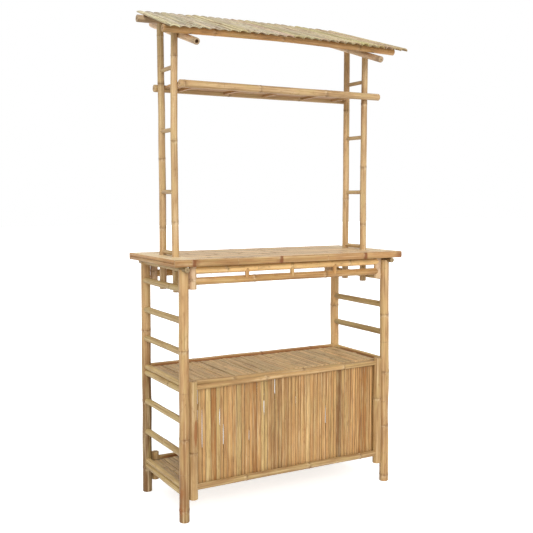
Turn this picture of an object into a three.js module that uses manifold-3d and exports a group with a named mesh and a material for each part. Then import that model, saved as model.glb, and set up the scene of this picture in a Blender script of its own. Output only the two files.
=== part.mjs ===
// Bamboo tiki bar hut: a bar counter on two ladder-like sides with two shelves and a slatted
// front, and a lift-out upper frame with a shelf and a lean-to roof of split bamboo.
// Millimetres, +Z up, X along the counter, the slatted front faces -Y.
// The origin is on the floor at the middle of the four legs.
import * as THREE from 'three';
import { mergeVertices } from 'three/addons/utils/BufferGeometryUtils.js';
import Module from 'manifold-3d';

const wasm = await Module();
wasm.setup();

// Fits
const CLEARANCE = 0.3;

// Roundness of the poles, in sides. Four divides each, so a flat faces every axis.
const LEG_SIDES = 16;
const RAIL_SIDES = 12;
const PEG_SIDES = 8;

// Base frame
const LEG_SPACING_X = 1000;
const LEG_SPACING_Y = 408;
const LEG_DIAMETER = 41;
const RUNG_DIAMETER = 27;
const SIDE_TOP_RAIL_DIAMETER = 22;
const SIDE_TOP_RAIL_INSET = 2;
const NODE_RING_BULGE = 1.2;
const NODE_RING_WIDTH = 9;

// Counter
const COUNTER_HEIGHT = 1064;
const COUNTER_THICKNESS = 28;
const COUNTER_END_OVERHANG = 52.5;
const COUNTER_EDGE_OVERHANG = 48;
const COUNTER_STRIP_THICKNESS = 15;
const COUNTER_STRIP_COUNT = 10;
const COUNTER_BEARER_WIDTH = 40;
const COUNTER_BEARER_COUNT = 3;
const END_BOARD_PAST_HOLE = 15;
const EDGE_STRIP_THICKNESS = 8;
const EDGE_STRIP_CROWN = 2;
const END_LAYER_CROWN = 4;
const POST_HOLE_CLEARANCE = 0.6;

// Aprons under the counter
const STUB_DIAMETER = 32;
const STUB_TO_LEG = 43;
const STUB_DROP = 94;
const APRON_RAIL_DIAMETER = 30;
const APRON_TOP_RAIL_DROP = 18;
const APRON_LOWER_RAIL_DROP = 62;
const SPACER_DIAMETER = 18;
const SPACER_SPACING = 216;
const SPACER_FORWARD = 7;
const PEG_DIAMETER = 8;
const PEG_FROM_END = 18;

// Slatted front panel
const PANEL_POST_DIAMETER = 37;
const PANEL_POST_BELOW_RAIL = 48;
const PANEL_POST_ABOVE_RAIL = 24;
const PANEL_TOP_RAIL_DIAMETER = 20.5;
const PANEL_TOP_RAIL_BELOW_SHELF = 14;
const PANEL_BOTTOM_RAIL_DIAMETER = 26;
const PANEL_BOTTOM_RAIL_BELOW_SHELF = 7;
const MAT_SLAT_COUNT = 63;
const MAT_SLAT_GAP = 1.2;
const MAT_SLAT_THICKNESS = 5;
const MAT_SLAT_CROWN = 2;
const MAT_BEHIND_RAIL = 8;
const MAT_BEHIND_POST = 16;
const MAT_BATTEN_HEIGHT = 24;
const MAT_BATTEN_THICKNESS = 6;

// Shelves of the base
const SHELF_RAIL_DIAMETER = 24;
const DECK_THICKNESS = 7;
const DECK_GROOVE_DEPTH = 1.8;
const DECK_GROOVE_WIDTH = 2.4;
const SHELF_SLAT_COUNT = 42;
const SHELF_DECK_TO_REAR_RAIL = 22;
const SHELF_BATTEN_WIDTH = 22;
const SHELF_BATTEN_HEIGHT = 12;
const SHELF_BATTEN_COUNT = 3;
const BOTTOM_DECK_FRONT_GAP = 2;
const FRONT_RAIL_LIFT = 5;
const REAR_STUB_DIAMETER = 34;
const REAR_STUB_BELOW_RAIL = 93;
const REAR_STUB_ABOVE_RAIL = 31;

// Upper frame
const UPPER_POST_DIAMETER = 26;
const UPPER_POST_TO_LEG = 31;
const UPPER_POST_SPACING_Y = 143;
const UPPER_POST_BELOW_RUNG = 27;
const FRONT_POST_ABOVE_RAFTER = 13;
const REAR_POST_ABOVE_RAFTER = 21;
const UPPER_RUNG_DIAMETER = 17;
const UPPER_RING_BULGE = 0.8;
const LADDER_PEG_DIAMETER = 6;

// Upper shelf
const UPPER_RAIL_DIAMETER = 31;
const UPPER_RAIL_OVERHANG = 24.5;
const UPPER_RAIL_ABOVE_COUNTER = 696;
const FRONT_RAIL_OFFSET_X = 32;
const REAR_RAIL_OFFSET_X = 4;
const UPPER_DECK_THICKNESS = 9;
const UPPER_DECK_STRIP_COUNT = 4;
const UPPER_BATTEN_WIDTH = 17;
const UPPER_BATTEN_HEIGHT = 9;

// Roof
const ROOF_PITCH = THREE.MathUtils.degToRad(17.4);
const RAFTER_ABOVE_COUNTER = 913;
const RAFTER_DIAMETER = 27;
const RAFTER_FRONT = 238;
const RAFTER_REAR = 246;
const PURLIN_DIAMETER = 30;
const PURLIN_OVERHANG = 88.5;
const FRONT_PURLIN_REACH = 161;
const REAR_PURLIN_REACH = 125;
const ROOF_PAST_PURLIN = 27.5;
const ROOF_FRONT = 237;
const ROOF_REAR = 292;
const ROOF_LEFT_NARROWING = 37;
const ROOF_RIGHT_NARROWING = 75;
const ROOF_SLAT_COUNT = 27;
const ROOF_LEFT_SLAT_RISE = 9;
const ROOF_RIGHT_SLAT_RISE = 15;
const ROOF_SLAT_WALL = 4;
const ROOF_ARC_SIDES = 5;

// Heights of the seven rungs, from the floor up, as shares of the counter's height
const RUNG_HEIGHT_SHARES = [0.1095, 0.258, 0.386, 0.5056, 0.6494, 0.7684, 0.8882];
const BOTTOM_SHELF_RUNG = 0;
const MIDDLE_SHELF_RUNG = 3;

// Heights of each ladder's four rungs, as shares of the way from the counter's top to the top
// of the rear post
const UPPER_RUNG_HEIGHT_SHARES = [0.014, 0.276, 0.539, 0.8];

// Places of the raised node rings, as shares of the length of their pole
const FRONT_LEFT_LEG_RING_SHARES = [0.0475, 0.3335, 0.682];
const REAR_LEFT_LEG_RING_SHARES = [0.1055, 0.4, 0.707];
const FRONT_RIGHT_LEG_RING_SHARES = [0.028, 0.257, 0.5, 0.756];
const REAR_RIGHT_LEG_RING_SHARES = [0.2, 0.47, 0.752];
const FRONT_LEFT_POST_RING_SHARES = [0.274, 0.586, 0.907];
const REAR_LEFT_POST_RING_SHARES = [0.235, 0.497, 0.779, 0.955];
const FRONT_RIGHT_POST_RING_SHARES = [0.25, 0.5, 0.773];
const REAR_RIGHT_POST_RING_SHARES = [0.343, 0.719];
const PANEL_LEFT_POST_RING_SHARES = [0.4];
const PANEL_RIGHT_POST_RING_SHARES = [0.62];
const PANEL_TOP_RAIL_RING_SHARES = [0.37, 0.8];
const PANEL_BOTTOM_RAIL_RING_SHARES = [0.26, 0.6, 0.9];
const SHELF_RAIL_RING_SHARES = [0.22, 0.58, 0.86];
const UPPER_FRONT_RAIL_RING_SHARES = [0.02, 0.372, 0.708];
const UPPER_REAR_RAIL_RING_SHARES = [0.353, 0.72];
const PURLIN_RING_SHARES = [0.2, 0.484, 0.83];
const RAFTER_RING_SHARES = [0.5, 0.9];

// Heights of the two battens behind the slatted front, as shares of the slats' height
const MAT_BATTEN_SHARES = [0.22, 0.8];

// Places of the five cross battens under the upper shelf, as shares of its half length
const UPPER_BATTEN_SHARES = [-0.83, -0.36, 0.07, 0.52, 0.88];

// Materials
const paint = (color, roughness) => new THREE.MeshStandardMaterial({ color, roughness, metalness: 0 });
const poleTan = paint(0xc9a067, 0.5);
const rungOlive = paint(0xb19a67, 0.52);
const counterPale = paint(0xd9b583, 0.42);
const edgeHoney = paint(0xc08a4b, 0.4);
const slatMixed = paint(0xc0935a, 0.55);
const deckBeige = paint(0xbfa077, 0.58);
const roofStraw = paint(0xcdc49c, 0.6);

// The three ways a piece can lie: along X (across it Y, up Z), along Y (across X, up Z),
// along Z (across X, up Y).
const AXIS = {
  x: new THREE.Vector3(1, 0, 0),
  y: new THREE.Vector3(0, 1, 0),
  z: new THREE.Vector3(0, 0, 1),
};
const TURN = {
  x: new THREE.Matrix4().makeBasis(AXIS.y, AXIS.z, AXIS.x),
  y: new THREE.Matrix4().makeBasis(AXIS.z, AXIS.x, AXIS.y),
  z: new THREE.Matrix4(),
};

// Turns a closed geometry into a solid that can be joined and cut.
function toSolid(geometry) {
  geometry.deleteAttribute('normal');
  geometry.deleteAttribute('uv');
  const merged = mergeVertices(geometry);
  const corners = merged.index.array;
  const kept = [];
  for (let i = 0; i < corners.length; i += 3) {
    const [a, b, c] = [corners[i], corners[i + 1], corners[i + 2]];
    if (a !== b && b !== c && c !== a) kept.push(a, b, c);
  }
  return new wasm.Manifold(new wasm.Mesh({
    numProp: 3,
    vertProperties: new Float32Array(merged.attributes.position.array),
    triVerts: new Uint32Array(kept),
  }));
}

function toGeometry(solid) {
  const mesh = solid.getMesh();
  const geometry = new THREE.BufferGeometry();
  geometry.setAttribute('position', new THREE.BufferAttribute(new Float32Array(mesh.vertProperties), 3));
  geometry.setIndex(new THREE.BufferAttribute(new Uint32Array(mesh.triVerts), 1));
  geometry.computeVertexNormals();
  return geometry;
}

// A round bamboo pole from one point along an axis, with a raised ring at each share of its
// length. Its flats lie on the true radius. The same pole grown by a clearance is the cutter
// that saddles its neighbours.
function pole(shape, grow = 0) {
  const { axis, start, length, diameter, rings = [], bulge = NODE_RING_BULGE, sides = RAIL_SIDES } = shape;
  const toCorner = 1 / Math.cos(Math.PI / sides);
  const radius = (diameter / 2 + grow) * toCorner;
  const ringRadius = (diameter / 2 + bulge + grow) * toCorner;
  const profile = [new THREE.Vector2(0, -grow), new THREE.Vector2(radius, -grow)];
  for (const share of rings) {
    profile.push(new THREE.Vector2(radius, share * length - NODE_RING_WIDTH / 2));
    profile.push(new THREE.Vector2(ringRadius, share * length));
    profile.push(new THREE.Vector2(radius, share * length + NODE_RING_WIDTH / 2));
  }
  profile.push(new THREE.Vector2(radius, length + grow), new THREE.Vector2(0, length + grow));
  const geometry = new THREE.LatheGeometry(profile, sides);
  geometry.rotateX(Math.PI / 2);
  geometry.rotateZ(Math.PI / sides);
  geometry.applyMatrix4(TURN[axis]);
  geometry.translate(...start);
  return toSolid(geometry);
}

// The shape of a bar with the given outline, in points [across, up], between two places along
// an axis.
function barGeometry(axis, outline, from, to) {
  const points = outline.map(([across, up]) =>
    axis === 'y' ? new THREE.Vector2(up, across) : new THREE.Vector2(across, up));
  const shape = new THREE.Shape(points);
  const geometry = new THREE.ExtrudeGeometry(shape, { depth: to - from, bevelEnabled: false });
  geometry.applyMatrix4(TURN[axis]);
  geometry.translate(...AXIS[axis].clone().multiplyScalar(from).toArray());
  return geometry;
}

const bar = (axis, outline, from, to) => toSolid(barGeometry(axis, outline, from, to));

const block = (left, right, low, high) => [[left, low], [right, low], [right, high], [left, high]];

// A named piece. Its shape is kept about its own origin, and the mesh is placed there.
function piece(name, solid, material, origin, parent) {
  const mesh = new THREE.Mesh(toGeometry(solid.translate(origin.map((value) => -value))), material);
  mesh.name = name;
  mesh.position.set(...origin);
  parent.add(mesh);
}

const hut = new THREE.Group();
const SIDES = [['left', -1], ['right', 1]];
const DEPTHS = [['front', -1], ['rear', 1]];

// Heights and places that the pieces share
const counterUnderside = COUNTER_HEIGHT - COUNTER_THICKNESS;
const legX = LEG_SPACING_X / 2;
const legY = LEG_SPACING_Y / 2;
const legRadius = LEG_DIAMETER / 2;
const rungRadius = RUNG_DIAMETER / 2;
const shelfRailRadius = SHELF_RAIL_DIAMETER / 2;
const counterEnd = legX + COUNTER_END_OVERHANG;
const counterEdge = legY + COUNTER_EDGE_OVERHANG;
const sideTopRailHeight = counterUnderside - CLEARANCE - SIDE_TOP_RAIL_DIAMETER / 2;
const rungHeights = RUNG_HEIGHT_SHARES.map((share) => share * COUNTER_HEIGHT);
const topRungHeight = rungHeights[rungHeights.length - 1];
const upperX = legX - UPPER_POST_TO_LEG;
const upperY = UPPER_POST_SPACING_Y / 2;
const upperPostRadius = UPPER_POST_DIAMETER / 2;
const rafterHeight = COUNTER_HEIGHT + RAFTER_ABOVE_COUNTER;

// Base frame: legs, the short top rails that lie in their saddles, and the side rungs.
const LEG_RINGS = {
  front_left: FRONT_LEFT_LEG_RING_SHARES,
  rear_left: REAR_LEFT_LEG_RING_SHARES,
  front_right: FRONT_RIGHT_LEG_RING_SHARES,
  rear_right: REAR_RIGHT_LEG_RING_SHARES,
};

function leg(side, depth, sideSign, depthSign) {
  return {
    axis: 'z',
    start: [sideSign * legX, depthSign * legY, 0],
    length: sideTopRailHeight,
    diameter: LEG_DIAMETER,
    rings: LEG_RINGS[`${depth}_${side}`],
    sides: LEG_SIDES,
  };
}

function sideTopRail(sideSign) {
  return {
    axis: 'y',
    start: [sideSign * legX, SIDE_TOP_RAIL_INSET - counterEdge, sideTopRailHeight],
    length: 2 * (counterEdge - SIDE_TOP_RAIL_INSET),
    diameter: SIDE_TOP_RAIL_DIAMETER,
  };
}

function sideRung(sideSign, height) {
  return {
    axis: 'y',
    start: [sideSign * legX, -legY, height],
    length: LEG_SPACING_Y,
    diameter: RUNG_DIAMETER,
  };
}

for (const [side, sideSign] of SIDES) {
  const topRail = sideTopRail(sideSign);
  piece(`side_top_rail_${side}`, pole(topRail), rungOlive, topRail.start, hut);
  const frontLeg = leg(side, 'front', sideSign, -1);
  const rearLeg = leg(side, 'rear', sideSign, 1);
  const legCutters = pole(frontLeg, CLEARANCE).add(pole(rearLeg, CLEARANCE));
  for (const [depth, one] of [['front', frontLeg], ['rear', rearLeg]]) {
    piece(`leg_${depth}_${side}`, pole(one).subtract(pole(topRail, CLEARANCE)), poleTan, one.start, hut);
  }
  rungHeights.forEach((height, index) => {
    const rung = sideRung(sideSign, height);
    piece(`side_rung_${side}_${index + 1}`, pole(rung).subtract(legCutters), rungOlive, rung.start, hut);
  });
}

// Upper frame ladders. Their posts pass through the counter's end boards, and a peg at the top
// rung of the base holds each post.
const POST_RINGS = {
  front_left: FRONT_LEFT_POST_RING_SHARES,
  rear_left: REAR_LEFT_POST_RING_SHARES,
  front_right: FRONT_RIGHT_POST_RING_SHARES,
  rear_right: REAR_RIGHT_POST_RING_SHARES,
};
const upperPostBottom = topRungHeight - UPPER_POST_BELOW_RUNG;
const rafterRise = upperY * Math.tan(ROOF_PITCH);
const postTops = {
  front: rafterHeight - rafterRise + FRONT_POST_ABOVE_RAFTER,
  rear: rafterHeight + rafterRise + REAR_POST_ABOVE_RAFTER,
};

function upperPost(side, depth, sideSign, depthSign) {
  return {
    axis: 'z',
    start: [sideSign * upperX, depthSign * upperY, upperPostBottom],
    length: postTops[depth] - upperPostBottom,
    diameter: UPPER_POST_DIAMETER,
    rings: POST_RINGS[`${depth}_${side}`],
    bulge: UPPER_RING_BULGE,
  };
}

function ladder(side, sideSign) {
  const posts = DEPTHS.map(([depth, depthSign]) => upperPost(side, depth, sideSign, depthSign));
  let solid = pole(posts[0]).add(pole(posts[1]));
  for (const share of UPPER_RUNG_HEIGHT_SHARES) {
    const height = COUNTER_HEIGHT + share * (postTops.rear - COUNTER_HEIGHT);
    solid = solid.add(pole({
      axis: 'y',
      start: [sideSign * upperX, -upperY, height],
      length: UPPER_POST_SPACING_Y,
      diameter: UPPER_RUNG_DIAMETER,
    }));
  }
  for (const post of posts) {
    const peg = pole({
      axis: 'x',
      start: [Math.min(sideSign * upperX, sideSign * legX), post.start[1], topRungHeight],
      length: UPPER_POST_TO_LEG,
      diameter: LADDER_PEG_DIAMETER,
      sides: PEG_SIDES,
    });
    solid = solid.add(peg.subtract(pole(sideRung(sideSign, topRungHeight), CLEARANCE)));
  }
  return solid;
}

for (const [side, sideSign] of SIDES) {
  const origin = [sideSign * upperX, 0, upperPostBottom];
  piece(`upper_ladder_${side}`, ladder(side, sideSign), poleTan, origin, hut);
}

// Counter: a deck of strips on cross bearers, an end board at each end, and the edge strips.
const edgeInner = counterEdge - EDGE_STRIP_THICKNESS;
const endBoardInner = upperX - upperPostRadius - POST_HOLE_CLEARANCE - END_BOARD_PAST_HOLE;

// The upper side of a deck of flat strips with a shallow groove between neighbours.
function groovedTop(from, to, count, top) {
  const pitch = (to - from) / count;
  const points = [];
  for (let i = 0; i < count; i += 1) {
    const start = from + i * pitch;
    if (i > 0) points.push([start, top - DECK_GROOVE_DEPTH]);
    points.push([start + (i > 0 ? DECK_GROOVE_WIDTH / 2 : 0), top]);
    points.push([start + pitch - (i < count - 1 ? DECK_GROOVE_WIDTH / 2 : 0), top]);
  }
  return points.reverse();
}

function deckOutline(from, to, count, low, top) {
  return [[from, low], [to, low], ...groovedTop(from, to, count, top)];
}

function counterDeck() {
  const halfLength = endBoardInner - CLEARANCE;
  const halfDepth = edgeInner - CLEARANCE;
  const stripLow = COUNTER_HEIGHT - COUNTER_STRIP_THICKNESS;
  const outline = deckOutline(-halfDepth, halfDepth, COUNTER_STRIP_COUNT, stripLow, COUNTER_HEIGHT);
  let solid = bar('x', outline, -halfLength, halfLength);
  const spacing = (2 * halfLength - COUNTER_BEARER_WIDTH) / (COUNTER_BEARER_COUNT - 1);
  for (let i = 0; i < COUNTER_BEARER_COUNT; i += 1) {
    const left = -halfLength + i * spacing;
    const section = block(left, left + COUNTER_BEARER_WIDTH, counterUnderside, stripLow);
    solid = solid.add(bar('y', section, -halfDepth, halfDepth));
  }
  return solid;
}

// The outer edge of an end board has two crowned layers, one on the other.
function endBoard(side, sideSign) {
  const crownStart = counterEnd - END_LAYER_CROWN;
  const middle = counterUnderside + COUNTER_THICKNESS / 2;
  const quarter = COUNTER_THICKNESS / 4;
  const section = [
    [endBoardInner, counterUnderside],
    [crownStart, counterUnderside],
    [counterEnd, middle - quarter],
    [crownStart, middle],
    [counterEnd, middle + quarter],
    [crownStart, COUNTER_HEIGHT],
    [endBoardInner, COUNTER_HEIGHT],
  ].map(([across, up]) => [sideSign * across, up]);
  let solid = bar('y', section, -edgeInner + CLEARANCE, edgeInner - CLEARANCE);
  for (const [depth, depthSign] of DEPTHS) {
    const post = { ...upperPost(side, depth, sideSign, depthSign), rings: [] };
    solid = solid.subtract(pole(post, POST_HOLE_CLEARANCE));
  }
  return solid;
}

function edgeStrip(depthSign) {
  const crownStart = counterEdge - EDGE_STRIP_CROWN;
  const shoulder = COUNTER_THICKNESS / 5;
  const section = [
    [edgeInner, counterUnderside],
    [crownStart, counterUnderside],
    [counterEdge, counterUnderside + shoulder],
    [counterEdge, COUNTER_HEIGHT - shoulder],
    [crownStart, COUNTER_HEIGHT],
    [edgeInner, COUNTER_HEIGHT],
  ].map(([across, up]) => [depthSign * across, up]);
  return bar('x', section, -counterEnd, counterEnd);
}

piece('counter_deck', counterDeck(), counterPale, [0, 0, COUNTER_HEIGHT], hut);
for (const [side, sideSign] of SIDES) {
  const origin = [sideSign * counterEnd, 0, COUNTER_HEIGHT];
  piece(`counter_end_board_${side}`, endBoard(side, sideSign), counterPale, origin, hut);
}
for (const [depth, depthSign] of DEPTHS) {
  const origin = [0, depthSign * counterEdge, COUNTER_HEIGHT];
  piece(`counter_${depth}_edge`, edgeStrip(depthSign), edgeHoney, origin, hut);
}

// Aprons: a stub pole pegged beside each leg, and between the stubs two rails with spacers.
const stubX = legX - STUB_TO_LEG;
const stubBottom = counterUnderside - STUB_DROP;
const stubTop = counterUnderside - CLEARANCE;

function apronStub(sideSign, depthSign) {
  return {
    axis: 'z',
    start: [sideSign * stubX, depthSign * legY, stubBottom],
    length: stubTop - stubBottom,
    diameter: STUB_DIAMETER,
  };
}

function peggedStub(side, depth, sideSign, depthSign) {
  let solid = pole(apronStub(sideSign, depthSign));
  const legCutter = pole(leg(side, depth, sideSign, depthSign), CLEARANCE);
  for (const height of [stubBottom + PEG_FROM_END, stubTop - PEG_FROM_END]) {
    const peg = pole({
      axis: 'x',
      start: [Math.min(sideSign * stubX, sideSign * legX), depthSign * legY, height],
      length: STUB_TO_LEG,
      diameter: PEG_DIAMETER,
      sides: PEG_SIDES,
    });
    solid = solid.add(peg.subtract(legCutter));
  }
  return solid;
}

function apronLattice(depthSign) {
  const topRailHeight = counterUnderside - APRON_TOP_RAIL_DROP;
  const lowerRailHeight = counterUnderside - APRON_LOWER_RAIL_DROP;
  const rail = (height) => pole({
    axis: 'x',
    start: [-stubX, depthSign * legY, height],
    length: 2 * stubX,
    diameter: APRON_RAIL_DIAMETER,
  });
  let solid = rail(topRailHeight).add(rail(lowerRailHeight));
  for (const step of [-1, 0, 1]) {
    solid = solid.add(pole({
      axis: 'z',
      start: [step * SPACER_SPACING, depthSign * (legY + SPACER_FORWARD), lowerRailHeight],
      length: topRailHeight - lowerRailHeight,
      diameter: SPACER_DIAMETER,
    }));
  }
  for (const [, sideSign] of SIDES) {
    solid = solid.subtract(pole(apronStub(sideSign, depthSign), CLEARANCE));
  }
  return solid;
}

for (const [depth, depthSign] of DEPTHS) {
  for (const [side, sideSign] of SIDES) {
    const { start } = apronStub(sideSign, depthSign);
    const solid = peggedStub(side, depth, sideSign, depthSign);
    piece(`apron_stub_${depth}_${side}`, solid, poleTan, start, hut);
  }
  const origin = [0, depthSign * legY, counterUnderside];
  piece(`apron_lattice_${depth}`, apronLattice(depthSign), edgeHoney, origin, hut);
}

// Slatted front panel: two posts beside the front legs, two rails, and the mat behind the rails.
const shelfRailHeight = (rung) => rungHeights[rung] + rungRadius + CLEARANCE + shelfRailRadius;
const bottomRailHeight = shelfRailHeight(BOTTOM_SHELF_RUNG);
const middleRailHeight = shelfRailHeight(MIDDLE_SHELF_RUNG);
const panelTopRailHeight = middleRailHeight - PANEL_TOP_RAIL_BELOW_SHELF;
const panelBottomRailHeight = bottomRailHeight - PANEL_BOTTOM_RAIL_BELOW_SHELF;
const panelPostBottom = panelBottomRailHeight - PANEL_POST_BELOW_RAIL;
const panelPostRadius = PANEL_POST_DIAMETER / 2;
const panelPostX = legX - legRadius - CLEARANCE - panelPostRadius;
const matFront = -legY + PANEL_BOTTOM_RAIL_DIAMETER / 2 + NODE_RING_BULGE + CLEARANCE;
const matRear = matFront + MAT_SLAT_THICKNESS;
const topRailY = matFront - CLEARANCE - NODE_RING_BULGE - PANEL_TOP_RAIL_DIAMETER / 2;

function panelPost(sideSign) {
  return {
    axis: 'z',
    start: [sideSign * panelPostX, -legY, panelPostBottom],
    length: panelTopRailHeight + PANEL_POST_ABOVE_RAIL - panelPostBottom,
    diameter: PANEL_POST_DIAMETER,
    rings: sideSign < 0 ? PANEL_LEFT_POST_RING_SHARES : PANEL_RIGHT_POST_RING_SHARES,
  };
}

const panelPostCutters = pole(panelPost(-1), CLEARANCE).add(pole(panelPost(1), CLEARANCE));

// A rail between the two panel posts, saddled onto them.
function panelRail(y, height, diameter, rings) {
  return {
    axis: 'x',
    start: [-panelPostX, y, height],
    length: 2 * panelPostX,
    diameter,
    rings,
  };
}

const panelTopRail = panelRail(
  topRailY, panelTopRailHeight, PANEL_TOP_RAIL_DIAMETER, PANEL_TOP_RAIL_RING_SHARES);
const panelBottomRail = panelRail(
  -legY, panelBottomRailHeight, PANEL_BOTTOM_RAIL_DIAMETER, PANEL_BOTTOM_RAIL_RING_SHARES);

// The middle shelf's front rail lies behind the panel's top rail and a little above it, and is
// hollowed where the two touch.
const frontRailReach = PANEL_TOP_RAIL_DIAMETER / 2 + shelfRailRadius + CLEARANCE;
const middleFrontRailY = topRailY + Math.sqrt(frontRailReach ** 2 - FRONT_RAIL_LIFT ** 2);
const middleFrontRail = panelRail(
  middleFrontRailY, panelTopRailHeight + FRONT_RAIL_LIFT, SHELF_RAIL_DIAMETER, SHELF_RAIL_RING_SHARES);

const matTop = panelTopRailHeight - MAT_BEHIND_RAIL;
const matBottom = panelBottomRailHeight - MAT_BEHIND_RAIL;

function slatMat() {
  const halfWidth = panelPostX - panelPostRadius + MAT_BEHIND_POST;
  const pitch = 2 * halfWidth / MAT_SLAT_COUNT;
  const shoulder = matFront + MAT_SLAT_CROWN;
  let solid = null;
  for (let i = 0; i < MAT_SLAT_COUNT; i += 1) {
    const left = -halfWidth + i * pitch + MAT_SLAT_GAP / 2;
    const right = left + pitch - MAT_SLAT_GAP;
    const third = (right - left) / 3;
    const section = [
      [left, matRear], [left, shoulder], [left + third, matFront],
      [right - third, matFront], [right, shoulder], [right, matRear],
    ];
    const slat = bar('z', section, matBottom, matTop);
    solid = solid ? solid.add(slat) : slat;
  }
  for (const share of MAT_BATTEN_SHARES) {
    const middle = matBottom + share * (matTop - matBottom);
    const section = block(matRear, matRear + MAT_BATTEN_THICKNESS,
      middle - MAT_BATTEN_HEIGHT / 2, middle + MAT_BATTEN_HEIGHT / 2);
    solid = solid.add(bar('x', section, -halfWidth, halfWidth));
  }
  return solid.subtract(pole(middleFrontRail, CLEARANCE)).subtract(panelPostCutters);
}

for (const [side, sideSign] of SIDES) {
  const post = panelPost(sideSign);
  const solid = pole(post).subtract(pole(leg(side, 'front', sideSign, -1), CLEARANCE));
  piece(`panel_post_${side}`, solid, poleTan, post.start, hut);
}
for (const [name, rail] of [['panel_top_rail', panelTopRail], ['panel_bottom_rail', panelBottomRail]]) {
  piece(name, pole(rail).subtract(panelPostCutters), poleTan, rail.start, hut);
}
piece('panel_slat_mat', slatMat(), slatMixed, [0, matFront, matBottom], hut);

// Shelves: side rails on the rungs, a slatted deck between them, and the cross rails.
function shelfSideRail(sideSign, height) {
  return {
    axis: 'y',
    start: [sideSign * legX, -legY, height],
    length: LEG_SPACING_Y,
    diameter: SHELF_RAIL_DIAMETER,
  };
}

function shelfDeck(height, front) {
  const rear = legY - SHELF_DECK_TO_REAR_RAIL;
  const halfLength = legX - shelfRailRadius - CLEARANCE;
  const low = height + CLEARANCE;
  const outline = deckOutline(-halfLength, halfLength, SHELF_SLAT_COUNT, low, low + DECK_THICKNESS);
  let solid = bar('y', outline, front, rear);
  const spacing = (rear - front - SHELF_BATTEN_WIDTH) / (SHELF_BATTEN_COUNT - 1);
  for (let i = 0; i < SHELF_BATTEN_COUNT; i += 1) {
    const start = front + i * spacing;
    const section = block(start, start + SHELF_BATTEN_WIDTH, low - SHELF_BATTEN_HEIGHT, low);
    solid = solid.add(bar('x', section, -halfLength, halfLength));
  }
  return solid;
}

function shelf(name, railHeight, front) {
  for (const [side, sideSign] of SIDES) {
    const rail = shelfSideRail(sideSign, railHeight);
    let solid = pole(rail);
    for (const [depth, depthSign] of DEPTHS) {
      solid = solid.subtract(pole(leg(side, depth, sideSign, depthSign), CLEARANCE));
    }
    piece(`${name}_side_rail_${side}`, solid, rungOlive, rail.start, hut);
  }
  piece(`${name}_deck`, shelfDeck(railHeight, front), deckBeige, [0, 0, railHeight], hut);
}

const middleDeckFront = middleFrontRailY + shelfRailRadius + NODE_RING_BULGE + CLEARANCE;
shelf('middle_shelf', middleRailHeight, middleDeckFront);
const frontRail = pole(middleFrontRail).subtract(panelPostCutters).subtract(pole(panelTopRail, CLEARANCE));
piece('middle_shelf_front_rail', frontRail, poleTan, middleFrontRail.start, hut);

const middleRearRail = {
  axis: 'x',
  start: [-legX, legY, middleRailHeight],
  length: LEG_SPACING_X,
  diameter: SHELF_RAIL_DIAMETER,
  rings: SHELF_RAIL_RING_SHARES,
};
const rearLegCutters = pole(leg('left', 'rear', -1, 1), CLEARANCE)
  .add(pole(leg('right', 'rear', 1, 1), CLEARANCE));
piece('middle_shelf_rear_rail', pole(middleRearRail).subtract(rearLegCutters), poleTan,
  middleRearRail.start, hut);

// The bottom shelf's rear rail runs between two short stub posts beside the rear legs.
shelf('bottom_shelf', bottomRailHeight, matRear + BOTTOM_DECK_FRONT_GAP);
const rearStubX = legX - legRadius - CLEARANCE - REAR_STUB_DIAMETER / 2;

function rearStub(sideSign) {
  return {
    axis: 'z',
    start: [sideSign * rearStubX, legY, bottomRailHeight - REAR_STUB_BELOW_RAIL],
    length: REAR_STUB_BELOW_RAIL + REAR_STUB_ABOVE_RAIL,
    diameter: REAR_STUB_DIAMETER,
  };
}

const bottomRearRail = {
  axis: 'x',
  start: [-rearStubX, legY, bottomRailHeight],
  length: 2 * rearStubX,
  diameter: SHELF_RAIL_DIAMETER,
  rings: SHELF_RAIL_RING_SHARES,
};
const rearStubCutters = pole(rearStub(-1), CLEARANCE).add(pole(rearStub(1), CLEARANCE));
piece('bottom_shelf_rear_rail', pole(bottomRearRail).subtract(rearStubCutters), poleTan,
  bottomRearRail.start, hut);
for (const [side, sideSign] of SIDES) {
  const stub = rearStub(sideSign);
  piece(`bottom_shelf_rear_stub_${side}`, pole(stub).subtract(rearLegCutters), poleTan, stub.start, hut);
}

// Upper shelf: a rail outside each pair of posts, and a deck of strips on cross battens.
const upperRailHeight = COUNTER_HEIGHT + UPPER_RAIL_ABOVE_COUNTER;
const upperRailY = upperY + upperPostRadius + CLEARANCE + UPPER_RAIL_DIAMETER / 2;
const upperRailReach = upperX + UPPER_RAIL_OVERHANG;

function upperRail(depthSign) {
  const offset = depthSign < 0 ? FRONT_RAIL_OFFSET_X : REAR_RAIL_OFFSET_X;
  return {
    axis: 'x',
    start: [offset - upperRailReach, depthSign * upperRailY, upperRailHeight],
    length: 2 * upperRailReach,
    diameter: UPPER_RAIL_DIAMETER,
    rings: depthSign < 0 ? UPPER_FRONT_RAIL_RING_SHARES : UPPER_REAR_RAIL_RING_SHARES,
    bulge: UPPER_RING_BULGE,
  };
}

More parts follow.
